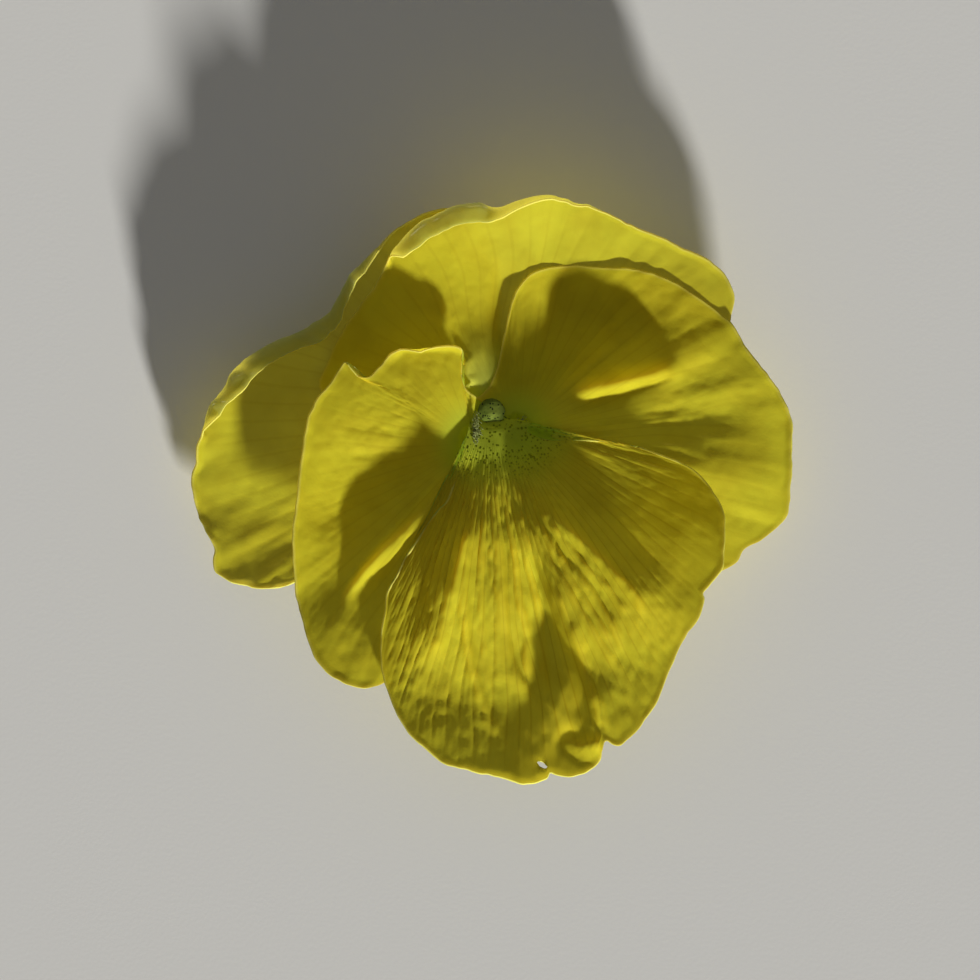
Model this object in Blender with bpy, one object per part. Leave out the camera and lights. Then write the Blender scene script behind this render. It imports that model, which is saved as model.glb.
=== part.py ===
"""A garden pansy flower, picked and lying on its back with its face to the sky.

Two upper petals lie at the back, two side petals over them and the lower petal in front. Their claws
meet round a throat that holds the pistil in a cone of fused anthers. Behind the petals are five green
sepals with short auricles, the hooked stub of the stalk and the lower petal's nectar spur.
X runs to the right of the face, Y to its top, Z out of the face. Drawing units are millimetres.
"""
import math
from dataclasses import dataclass, field
from typing import ClassVar

import bmesh
import bpy
import numpy as np
from mathutils import Matrix, Vector

MM = 0.001
# points of one mesh closer than this are one point
WELD = 0.001

PETAL_THICKNESS = 0.6
SEPAL_THICKNESS = 0.6
CLEARANCE = 0.3

# the throat, seen from the front
THROAT_X = 0.3
THROAT_Y = 5.7
LOWER_PETAL_ANGLE = 283.6
CLAW_RISE = 1.6

# a petal's mesh: rays across it, rows along it and rows round its rolled margin
RAYS = 30
ROWS = 9
ROLL_ROWS = 5
# the lower petal has four rays to each rib
RIBBED_RAYS = 45
ROW_SPREAD = 1.25

# where a margin is notched, each ray follows it over this depth, or this share of a short ray
NOTCH_DEPTH = 4.5
NOTCH_SHARE = 0.6
NOTCH_BLUR = 1.8

# a rolled margin turns over this share of its length, takes no more than the other share of a ray,
# and is left out where the ray is too short for it
ROLL_TIGHTNESS = 0.6
ROLL_SHARE = 0.45
ROLL_SHORTEST = 1.0
ROLL_EASE = 3.0

RECEPTACLE_TOP = 4.2
RECEPTACLE_PROFILE = [(0.0, 1.9), (0.9, 2.0), (1.9, 2.6), (2.2, 3.4), (2.1, 4.1), (0.0, RECEPTACLE_TOP)]

SEPAL_BASE_RADIUS = 1.5
SEPAL_BASE_HEIGHT = 3.1
# how late a sepal bends down, and how far its middle hangs below its edges
SEPAL_DROOP = 1.25
SEPAL_KEEL = 0.12
# angle round the throat, reach from its axis, height of the tip
SEPALS = [
    (LOWER_PETAL_ANGLE - 36, 12.0, 0.32),
    (LOWER_PETAL_ANGLE + 36, 12.0, 0.32),
    (LOWER_PETAL_ANGLE + 108, 12.0, 1.5),
    (LOWER_PETAL_ANGLE + 180, 11.0, 2.3),
    (LOWER_PETAL_ANGLE + 252, 11.0, 1.0),
]
# share of the sepal's length, half its width
SEPAL_WIDTHS = [(0.0, 0.75), (0.25, 0.8), (0.5, 1.65), (0.7, 1.5), (0.88, 0.85), (1.0, 0.12)]
AURICLE_WIDTHS = [(0.0, 0.7), (0.5, 0.75), (0.85, 0.6), (1.0, 0.25)]
AURICLE_REACH = 3.7
AURICLE_BASE_HEIGHT = 2.6
AURICLE_TIP_HEIGHT = 1.35
AURICLE_DROOP = 1.4

STALK_RADIUS = 0.9
# from inside the receptacle down onto the surface and along it to the cut
STALK_PATH = [(0.3, 5.7, 2.7), (0.3, 6.2, 1.7), (0.25, 8.0, 1.0), (0.1, 11.8, 0.91), (0.0, 16.3, 0.91)]

SPUR_DISTANCE = 4.0
# height, radius, shift away from the throat's axis; its blunt end is the flat that rests on a surface
SPUR_PROFILE = [(0.0, 0.85, 0.0), (0.45, 1.1, 0.0), (2.4, 1.2, 0.0), (4.4, 1.15, 0.05), (6.0, 0.9, 0.3),
                (8.2, 0.5, 0.75)]

OVARY_RADIUS = 0.8
OVARY_BASE = RECEPTACLE_TOP + CLEARANCE
OVARY_PROFILE = [(0.0, OVARY_BASE), (0.5, OVARY_BASE), (OVARY_RADIUS, 5.1), (OVARY_RADIUS, 5.6), (0.5, 6.1),
                 (0.0, 6.3)]
STYLE_RADIUS = 0.35
STYLE_FOOT = (THROAT_X, THROAT_Y, 5.4)
STYLE_BEND = (THROAT_X, THROAT_Y + 0.1, 6.6)
STIGMA_CENTRE = (0.05, 7.0, 8.0)
STIGMA_RADIUS = 1.2
# the stigma's hollow faces the lower petal: its direction, depth as a share of the radius, and spread
STIGMA_PIT = (0.0, -0.75, 0.66)
STIGMA_PIT_DEPTH = 0.35
STIGMA_PIT_SPREAD = 0.4

ANTHERS = 5
ANTHER_BOTTOM = OVARY_BASE
ANTHER_TOP = 6.35
# half-axes of an anther lobe across and along the cone it is fused into
ANTHER_DEPTH = 0.36
ANTHER_WIDTH = 0.78
CONE_INNER = OVARY_RADIUS + CLEARANCE + 0.08
CONE_WALL = 0.56
CONE_TOP = ANTHER_TOP - 0.2
CONE_PROFILE = [(CONE_INNER, ANTHER_BOTTOM), (CONE_INNER + CONE_WALL, ANTHER_BOTTOM),
                (CONE_INNER + CONE_WALL - 0.1, CONE_TOP), (CONE_INNER, CONE_TOP)]

# the lower petal's ribs fan out from its claw and fade at both ends of a ray
RIBS = 11
RIB_HEIGHT = 0.16
RIB_START = 2.0
RIB_EASE = 4.0


@dataclass
class Fold:
    """A crest along a bent line, or a groove where its height is negative, wider or narrower on each side."""

    line: list
    height: float
    left: float
    right: float
    ease: float = 0.3

    def at(self, x, y):
        line = np.array(self.line, float)
        lengths = np.linalg.norm(np.diff(line, axis=0), axis=1)
        nearest = np.full(np.shape(x), np.inf)
        side = np.ones(np.shape(x))
        share = np.zeros(np.shape(x))
        done = 0.0
        for start, end, length in zip(line[:-1], line[1:], lengths):
            along = (end - start) / length
            t = np.clip((x - start[0]) * along[0] + (y - start[1]) * along[1], 0, length)
            off_x = x - start[0] - t * along[0]
            off_y = y - start[1] - t * along[1]
            distance = np.hypot(off_x, off_y)
            closer = distance < nearest
            nearest = np.where(closer, distance, nearest)
            side = np.where(closer, along[0] * off_y - along[1] * off_x, side)
            share = np.where(closer, (done + t) / lengths.sum(), share)
            done += length
        width = np.where(side > 0, self.left, self.right)
        ends = ease_in(share / self.ease) * ease_in((1 - share) / self.ease)
        return self.height * ends * np.exp(-((nearest / width) ** 2))


class Sheet:
    """The thin-plate surface that bends least through a petal's given heights."""

    SOFTNESS = 0.02

    def __init__(self, heights):
        spots = np.array(heights, float)
        self.places = spots[:, :2]
        count = len(spots)
        apart = np.linalg.norm(self.places[:, None] - self.places[None], axis=2)
        plane = np.hstack([np.ones((count, 1)), self.places])
        system = np.zeros((count + 3, count + 3))
        system[:count, :count] = self.bend(apart) + self.SOFTNESS * count * np.eye(count)
        system[:count, count:] = plane
        system[count:, :count] = plane.T
        self.weights = np.linalg.solve(system, np.concatenate([spots[:, 2], np.zeros(3)]))

    @staticmethod
    def bend(distance):
        return np.where(distance > 1e-9, distance**2 * np.log(np.maximum(distance, 1e-9)), 0.0)

    def at(self, x, y):
        level, slope_x, slope_y = self.weights[-3:]
        z = level + slope_x * x + slope_y * y
        for (place_x, place_y), weight in zip(self.places, self.weights):
            z = z + weight * self.bend(np.hypot(x - place_x, y - place_y))
        return z


@dataclass
class Petal:
    """A petal from above: its claw's end, its margin, heights on it, its folds and its rolled margin.

    root and margin are (x, y), heights are (x, y, z), and rolls are (x, y, degrees turned, length turned).
    """

    name: str
    root: tuple
    root_height: float
    margin: list
    heights: list
    rolls: list
    folds: list = field(default_factory=list)
    ribbed: bool = False

    # rounds in which the roll's start settles
    SETTLING: ClassVar[int] = 4

    def lift(self, x, y, from_root):
        """Height of the petal's middle, with the claw rising steeply out of the throat."""
        z = self.sheet.at(x, y)
        for fold in self.folds:
            z = z + fold.at(x, y)
        return self.root_height + (z - self.root_height) * ease_in(from_root / CLAW_RISE)

    def roll_at(self, edge):
        """How far the margin turns and over what length, at each point of the edge."""
        marks = sorted(
            (int(np.argmin(np.linalg.norm(edge - (x, y), axis=1))), math.radians(turn), length)
            for x, y, turn, length in self.rolls
        )
        places = [mark[0] for mark in marks]
        index = np.arange(len(edge))
        turn = np.interp(index, places, [mark[1] for mark in marks])
        length = np.interp(index, places, [mark[2] for mark in marks])
        return turn, length

    def grid(self, rays, rows, roll_rows):
        """Points of the petal's middle in rays from the claw to the margin: (rays, rows + roll_rows, 3)."""
        self.sheet = Sheet(self.heights)
        edge = curve_through(self.margin, rays)
        turn, length = self.roll_at(edge)
        root = np.linspace(self.root[0], self.root[1], rays)
        plain_edge = soften(edge, NOTCH_BLUR)
        notch = edge - plain_edge
        reach = np.linalg.norm(plain_edge - root, axis=1)[:, None]
        ray = (plain_edge - root) / reach
        length = np.minimum(length[:, None], ROLL_SHARE * reach)
        turn = turn[:, None] * ease_in((reach - ROLL_SHORTEST) / ROLL_EASE)

        # the roll starts where its furthest point just meets the drawn margin
        share = np.linspace(0, 1, roll_rows + 1)[None]
        turned = turn * ease_in((share[:, :-1] + share[:, 1:]) / 2 / ROLL_TIGHTNESS)
        used = length
        for _ in range(self.SETTLING):
            start = reach - used
            run = start + length * share
            rise = self.lift(root[:, :1] + ray[:, :1] * run, root[:, 1:] + ray[:, 1:] * run, run)
            step, climb = np.diff(run, axis=1), np.diff(rise, axis=1)
            out = np.cumsum(step * np.cos(turned) - climb * np.sin(turned), axis=1)
            up = np.cumsum(step * np.sin(turned) + climb * np.cos(turned), axis=1)
            used = np.maximum(out.max(axis=1, keepdims=True), 0.1 * length)

        flat_run = start * np.linspace(0, 1, rows)[None] ** ROW_SPREAD
        run = np.hstack([flat_run, start + out])
        depth = np.minimum(NOTCH_DEPTH, NOTCH_SHARE * reach)
        follow = ease_in(1 - (reach - np.maximum.accumulate(run, axis=1)) / depth)
        x = root[:, :1] + ray[:, :1] * run + notch[:, :1] * follow
        y = root[:, 1:] + ray[:, 1:] * run + notch[:, 1:] * follow
        flat_z = self.lift(x[:, :rows], y[:, :rows], flat_run)
        z = np.hstack([flat_z, flat_z[:, -1:] + up])
        if self.ribbed:
            wave = np.cos(math.tau * RIBS * np.linspace(0, 1, rays))[:, None]
            fade = ease_in((run - RIB_START) / RIB_EASE) * ease_in((reach - run) / RIB_EASE)
            z = z + RIB_HEIGHT * wave * fade
        return np.stack([x, y, z], axis=2)


def ease_in(t):
    """Rises smoothly from 0 to 1."""
    t = np.clip(t, 0, 1)
    return t * t * (3 - 2 * t)


def lengths_along(points):
    return np.concatenate([[0], np.cumsum(np.linalg.norm(np.diff(points, axis=0), axis=1))])


def curve_through(points, count):
    """Evenly spaced points on a smooth curve (centripetal Catmull-Rom) through the given ones."""
    p = np.array(points, float)
    p = np.vstack([2 * p[0] - p[1], p, 2 * p[-1] - p[-2]])
    pieces = []
    for a, b, c, d in zip(p[:-3], p[1:-2], p[2:-1], p[3:]):
        t0 = 0.0
        t1 = t0 + math.sqrt(np.linalg.norm(b - a))
        t2 = t1 + math.sqrt(np.linalg.norm(c - b))
        t3 = t2 + math.sqrt(np.linalg.norm(d - c))
        t = np.linspace(t1, t2, 25)[:-1, None]
        ab = (t1 - t) / (t1 - t0) * a + (t - t0) / (t1 - t0) * b
        bc = (t2 - t) / (t2 - t1) * b + (t - t1) / (t2 - t1) * c
        cd = (t3 - t) / (t3 - t2) * c + (t - t2) / (t3 - t2) * d
        abc = (t2 - t) / (t2 - t0) * ab + (t - t0) / (t2 - t0) * bc
        bcd = (t3 - t) / (t3 - t1) * bc + (t - t1) / (t3 - t1) * cd
        pieces.append((t2 - t) / (t2 - t1) * abc + (t - t1) / (t2 - t1) * bcd)
    pieces.append(p[-2][None])
    dense = np.vstack(pieces)
    run = lengths_along(dense)
    places = np.linspace(0, run[-1], count)
    return np.stack([np.interp(places, run, dense[:, i]) for i in range(2)], axis=1)


def soften(edge, blur):
    """The edge smoothed along its length, with its two ends kept."""
    run = lengths_along(edge)
    result = edge.copy()
    for i, place in enumerate(run):
        width = min(blur, 0.45 * min(place, run[-1] - place) + 1e-3)
        weight = np.exp(-0.5 * ((run - place) / width) ** 2)
        result[i] = (weight[:, None] * edge).sum(axis=0) / weight.sum()
    return result


UPPER_LEFT = Petal(
    name="petal_upper_left",
    root=((-2.2, 6.6), (-1.1, 8.0)),
    root_height=4.6,
    margin=[
        (-3.6, 4.1), (-6.2, 0.4), (-9.2, -3.1), (-14.2, -7.1), (-17.2, -8.6), (-19.5, -9.3), (-21.2, -9.9),
        (-23.2, -10.0), (-25.2, -9.6), (-26.4, -9.3), (-27.6, -8.4), (-28.0, -7.1), (-27.9, -6.1),
        (-28.7, -4.4), (-29.6, -2.1), (-30.1, 0.4), (-29.7, 2.9), (-29.2, 5.2), (-28.4, 7.9), (-27.2, 9.6),
        (-26.0, 11.4), (-25.2, 12.4), (-23.2, 13.9), (-21.2, 14.9), (-19.2, 15.7), (-17.7, 16.7),
        (-16.2, 17.7), (-15.4, 19.4), (-14.4, 20.9), (-13.2, 22.4), (-11.2, 24.4), (-9.2, 26.1),
        (-7.7, 27.1), (-6.2, 27.7), (-3.7, 28.1), (-2.0, 27.5), (-0.7, 24.9), (0.0, 19.9), (-0.1, 14.4),
        (-0.4, 11.4)],
    heights=[
        (-3.0, 6.4, 4.9), (-1.7, 8.9, 4.9), (-3.7, 3.9, 4.4), (-7.2, -0.6, 3.8), (-11.2, -4.6, 3.2),
        (-14.2, -7.1, 3), (-19.5, -9.3, 3.3), (-23.2, -9.9, 3.4), (-26.4, -9.2, 3.5), (-27.9, -7.1, 3.2),
        (-28.7, -4.4, 3.3), (-29.6, -2.1, 3.5), (-29.9, 0.9, 3.9), (-29.2, 5.2, 4.6), (-27.2, 9.4, 5.2),
        (-24.2, 12.9, 5.4), (-19.2, 15.4, 5.5), (-16.2, 17.7, 6), (-13.2, 22.1, 7), (-9.2, 25.7, 8.2),
        (-6.2, 27.3, 8.8), (-3.7, 27.7, 8.7), (-1.2, 24.9, 7.8), (-0.2, 18.9, 5.6), (-0.4, 13.9, 4.8),
        (-25.2, 5.9, 3.9), (-21.2, 8.9, 3.9), (-19.2, 12.9, 4.5), (-22.2, 1.9, 3.2), (-19.2, -1.1, 2.7),
        (-15.2, 1.9, 2.6), (-25.2, 0.9, 3.3), (-24.2, -3.1, 2.7), (-21.2, -6.1, 2.8), (-14.2, 8.9, 3.9),
        (-9.2, 5.9, 3.6), (-5.2, 5.9, 4.1), (-14.2, 15.9, 4.8), (-9.2, 18.9, 5.7), (-5.2, 22.9, 7.2),
        (-4.2, 15.9, 5.3), (-3.2, 10.9, 4.7)],
    rolls=[
        (-6.2, 0.4, 0, 1), (-23.2, -10.0, 15, 1), (-27.9, -6.1, 15, 1), (-30.1, 0.4, 20, 1),
        (-29.2, 5.2, 60, 1.5), (-28.6, 7.4, 140, 2.6), (-26.0, 11.4, 150, 3.8), (-19.2, 15.7, 150, 3.8),
        (-17.4, 16.9, 145, 3), (-15.7, 18.9, 130, 2), (-13.2, 22.4, 120, 1.8), (-10.7, 24.9, 80, 1.4),
        (-7.7, 27.1, 60, 1.4), (-3.7, 28.1, 30, 1), (-0.2, 19.9, 0, 1)],
)

UPPER_RIGHT = Petal(
    name="petal_upper_right",
    root=((-0.2, 8.2), (1.6, 8.1)),
    root_height=4.8,
    margin=[
        (-3.6, 8.7), (-6.2, 7.5), (-9.2, 6.5), (-12.7, 6.5), (-15.7, 8.1), (-17.4, 10.4), (-16.7, 12.4),
        (-15.2, 15.4), (-13.5, 17.9), (-11.7, 20.4), (-10.4, 22.7), (-9.6, 24.1), (-8.4, 25.3),
        (-6.8, 26.7), (-5.2, 27.5), (-3.7, 28.0), (-2.2, 28.3), (-1.2, 28.4), (-0.2, 28.1), (0.8, 28.1),
        (2.3, 28.6), (4.8, 29.1), (6.3, 29.1), (8.8, 28.4), (10.8, 27.7), (14.8, 25.9), (18.8, 24.2),
        (22.5, 22.1), (23.8, 20.4), (24.3, 19.2), (24.1, 17.9), (23.7, 16.4), (22.3, 14.2), (19.8, 12.1),
        (13.8, 9.7), (8.8, 8.7), (5.3, 8.1)],
    heights=[
        (-1.0, 10.1, 6.9), (0.6, 9.7, 6.8), (-1.2, 13.9, 7.2), (-4.2, 18.9, 8.4), (-5.2, 14.9, 7.3),
        (0.8, 18.9, 6.7), (0.8, 24.6, 8.9), (0.8, 27.4, 11), (-4.2, 25.9, 10.7), (-8.2, 23.9, 10),
        (-10.4, 22.7, 9.2), (-13.5, 17.9, 7.2), (-16.7, 12.4, 5.3), (-17.4, 10.4, 5), (-13.2, 6.4, 4.6),
        (-9.2, 6.4, 4.8), (-5.2, 7.9, 5.4), (-2.7, 9.1, 6.3), (-9.2, 15.9, 7.1), (-11.2, 10.9, 5.3),
        (6.3, 28.1, 10.2), (10.8, 26.4, 9), (14.8, 24.9, 8.8), (18.8, 23.4, 8.2), (22.5, 21.4, 7.2),
        (24.1, 18.9, 6.1), (22.6, 14.4, 4.6), (19.8, 12.1, 4.2), (13.8, 9.9, 4), (8.8, 8.7, 4.3),
        (4.8, 8.4, 4.8), (7.8, 15.9, 4.3), (10.8, 18.9, 4.6), (15.8, 18.9, 5.6), (10.8, 22.2, 5.9),
        (15.8, 22.2, 6.9), (6.8, 24.9, 7.7), (6.8, 21.9, 5.5), (4.8, 12.9, 4.6), (3.8, 18.9, 5),
        (14.8, 14.9, 4.6), (20.8, 17.9, 6),
        (8.3, 24.0, 7.2), (12.3, 23.8, 7.4), (16.8, 22.9, 7.7), (20.4, 21.2, 7.2), (3.8, 21.4, 6.0)],
    folds=[
        Fold([(-2.6, 13.9), (-2.6, 11.4), (-1.8, 9.9)], 0.6, 0.6, 0.6),
        Fold([(0.6, 14.4), (0.4, 11.9), (0.0, 10.1)], 0.6, 0.6, 0.6),
        Fold([(0.6, 13.0), (0.9, 17.0), (1.0, 20.5), (1.3, 24.0)], -0.7, 0.8, 1.4),
    ],
    rolls=[
        (-4.2, 8.5, 0, 1), (-17.4, 10.4, 0, 1), (-13.5, 17.9, 10, 1), (-10.6, 22.3, 20, 1.2),
        (-9.6, 24.1, 130, 2.4), (-8.0, 25.7, 150, 3.6), (-5.2, 27.5, 150, 3.6), (-1.2, 28.4, 150, 3.6),
        (0.4, 28.1, 120, 2), (6.3, 29.1, 80, 1.3), (14.8, 25.9, 50, 1.3), (22.5, 22.1, 35, 1),
        (24.1, 18.4, 15, 1), (19.8, 12.1, 0, 1)],
)

SIDE_LEFT = Petal(
    name="petal_side_left",
    root=((-2.1, 5.1), (-1.7, 3.6)),
    root_height=4.8,
    margin=[
        (-1.6, 9.3), (-2.6, 10.1), (-3.0, 11.3), (-3.1, 12.7), (-3.0, 13.9), (-3.7, 14.3), (-5.2, 14.2),
        (-7.2, 13.9), (-9.2, 13.9), (-10.0, 13.5), (-11.2, 12.3), (-12.4, 11.2), (-13.4, 11.3),
        (-14.1, 12.0), (-14.7, 12.7), (-15.3, 12.0), (-16.2, 10.5), (-17.4, 9.2), (-18.2, 7.4),
        (-18.8, 4.9), (-19.2, 1.9), (-19.5, -1.1), (-19.9, -5.1), (-19.8, -8.1), (-19.4, -11.1),
        (-18.7, -14.1), (-17.4, -17.3), (-16.2, -18.6), (-14.7, -19.4), (-12.9, -19.9), (-11.0, -19.5),
        (-8.7, -17.6), (-6.7, -15.1), (-4.7, -11.1), (-3.5, -7.1), (-2.7, -3.1), (-2.2, -0.3)],
    heights=[
        (-2.2, 5.9, 7.6), (-1.8, 8.7, 8.6), (-3.0, 12.4, 9.5), (-3.7, 14.2, 9.9), (-7.2, 13.9, 10),
        (-9.7, 13.7, 9.9), (-13.5, 10.9, 9.9), (-14.7, 12.9, 10.1), (-17.2, 9.4, 10.1), (-18.9, 4.4, 9.8),
        (-19.5, -1.1, 9.4), (-19.9, -5.6, 9.1), (-19.4, -11.1, 8.4), (-17.4, -17.3, 8.9),
        (-14.7, -19.4, 8.9), (-12.9, -19.9, 8.7), (-11.0, -19.5, 8.2), (-8.7, -17.1, 8.3), (-6.2, -12.1, 8.5),
        (-4.2, -8.1, 8.4), (-2.7, -2.1, 8.1), (-2.2, 1.9, 7.2), (-9.2, 0.9, 6.9), (-12.2, -2.1, 6.7),
        (-14.2, -5.1, 7), (-10.7, 3.9, 7.8), (-9.2, 8.9, 9.3), (-5.2, 8.9, 9.1), (-5.2, 4.4, 8),
        (-14.2, 6.9, 9.3), (-16.2, 3.9, 9), (-17.2, -1.1, 8), (-16.7, -7.1, 8), (-15.2, -13.1, 8.4),
        (-12.2, -11.1, 7.2), (-10.7, -6.6, 7.9), (-7.2, -4.1, 8.3), (-13.2, -16.6, 8.4),
        (-10.2, -15.1, 8.4)],
    folds=[
        Fold(
            [(-3.6, 3.4), (-5.2, 0.8), (-7.2, -1.9), (-9.7, -4.5), (-12.7, -8.0), (-15.2, -11.8)],
            1.3, 1.3, 0.8,
        ),
        Fold([(-9.7, -4.1), (-12.0, -7.3), (-14.2, -10.1), (-15.4, -13.1)], 0.4, 0.5, 0.5),
    ],
    rolls=[
        (-1.8, 6.9, 0, 1), (-3.0, 12.9, 10, 1), (-4.2, 14.3, 60, 1.5), (-7.2, 13.9, 100, 2),
        (-9.2, 13.9, 80, 1.6), (-10.7, 12.7, 10, 1), (-14.7, 12.9, 10, 1), (-18.2, 7.4, 20, 1),
        (-19.9, -5.1, 30, 1), (-12.9, -19.9, 15, 1), (-11.0, -19.5, 0, 1)],
)

SIDE_RIGHT = Petal(
    name="petal_side_right",
    root=((2.7, 6.4), (2.9, 4.6)),
    root_height=4.8,
    margin=[
        (0.2, 10.1), (0.5, 11.7), (0.9, 13.9), (1.3, 15.9), (2.1, 18.9), (2.8, 20.4), (3.8, 21.4),
        (5.3, 22.1), (7.3, 22.4), (10.8, 22.2), (14.8, 21.9), (17.8, 20.9), (20.8, 19.1), (23.0, 17.4),
        (23.8, 16.7), (25.3, 14.4), (26.8, 12.4), (28.3, 10.4), (29.3, 8.9), (30.0, 6.9), (30.1, 3.9),
        (30.0, 0.9), (29.6, -2.6), (28.8, -3.6), (27.0, -5.1), (25.3, -6.1), (24.6, -7.4), (22.8, -8.3),
        (19.8, -9.1), (15.8, -8.1), (10.8, -4.1), (5.8, 0.9)],
    heights=[
        (1.6, 8.9, 7.8), (0.5, 10.1, 8.3), (1.1, 14.4, 8.1), (2.1, 18.9, 7.2), (3.8, 21.3, 7.1),
        (5.3, 22.1, 7), (7.3, 22.4, 6.9), (10.8, 22.2, 7.1), (14.8, 21.9, 8), (17.8, 20.9, 8),
        (20.8, 19.1, 7.8), (23.0, 17.4, 7.4), (6.8, 15.9, 5.5), (10.8, 15.9, 5.6), (14.8, 14.9, 6.5),
        (6.8, 11.9, 6.3), (3.8, 10.9, 6.9), (2.3, 9.4, 7.3), (9.8, 18.9, 6), (5.8, 18.9, 6),
        (7.6, 8.7, 7.4), (10.8, 9.3, 7.1), (13.8, 9.8, 7.3), (16.8, 10.2, 7.2), (19.8, 10.3, 7),
        (22.8, 11.9, 7.3), (18.8, 15.4, 7.5), (25.8, 13.9, 7.5), (15.8, 8.1, 6.9), (20.8, 8.7, 6.7),
        (24.8, 8.4, 6.8), (27.3, 10.9, 7.4), (29.3, 8.9, 6.9), (30.1, 3.9, 6.2), (30.0, 0.9, 5.8),
        (29.6, -2.4, 5), (27.0, -5.1, 4.6), (25.3, -6.1, 4.7), (22.8, -8.3, 4.9), (19.8, -9.1, 5.4),
        (15.8, -8.1, 6.2), (10.8, -4.1, 6.6), (5.8, 0.9, 6.6), (20.8, 2.9, 7.7), (23.8, 0.9, 6.8),
        (22.8, -3.1, 5.9), (26.8, 2.9, 6.4), (14.8, 1.9, 8.1), (10.8, 5.4, 7.6), (6.8, 5.7, 7.6),
        (4.1, 5.9, 7.7),
        (9.5, 10.9, 8.7), (13.0, 11.5, 9.0), (16.6, 11.9, 8.4), (19.4, 12.2, 7.4)],
    folds=[
        Fold([(7.4, 9.6), (9.5, 10.8), (13.0, 11.4), (16.8, 11.8), (19.6, 11.8)], 1.4, 1.2, 0.7),
        Fold([(3.0, 6.4), (5.4, 6.8), (8.4, 6.9), (11.6, 6.5)], 0.5, 0.8, 0.6),
    ],
    rolls=[
        (0.2, 10.1, 0, 1), (2.1, 18.9, 15, 1), (5.3, 22.1, 10, 1), (6.8, 22.3, 0, 1), (20.8, 19.1, 0, 1),
        (24.3, 15.9, 20, 1), (28.3, 10.4, 20, 1), (30.1, 3.9, 25, 1), (29.6, -2.6, 10, 1),
        (22.8, -8.3, 0, 1)],
)

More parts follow.
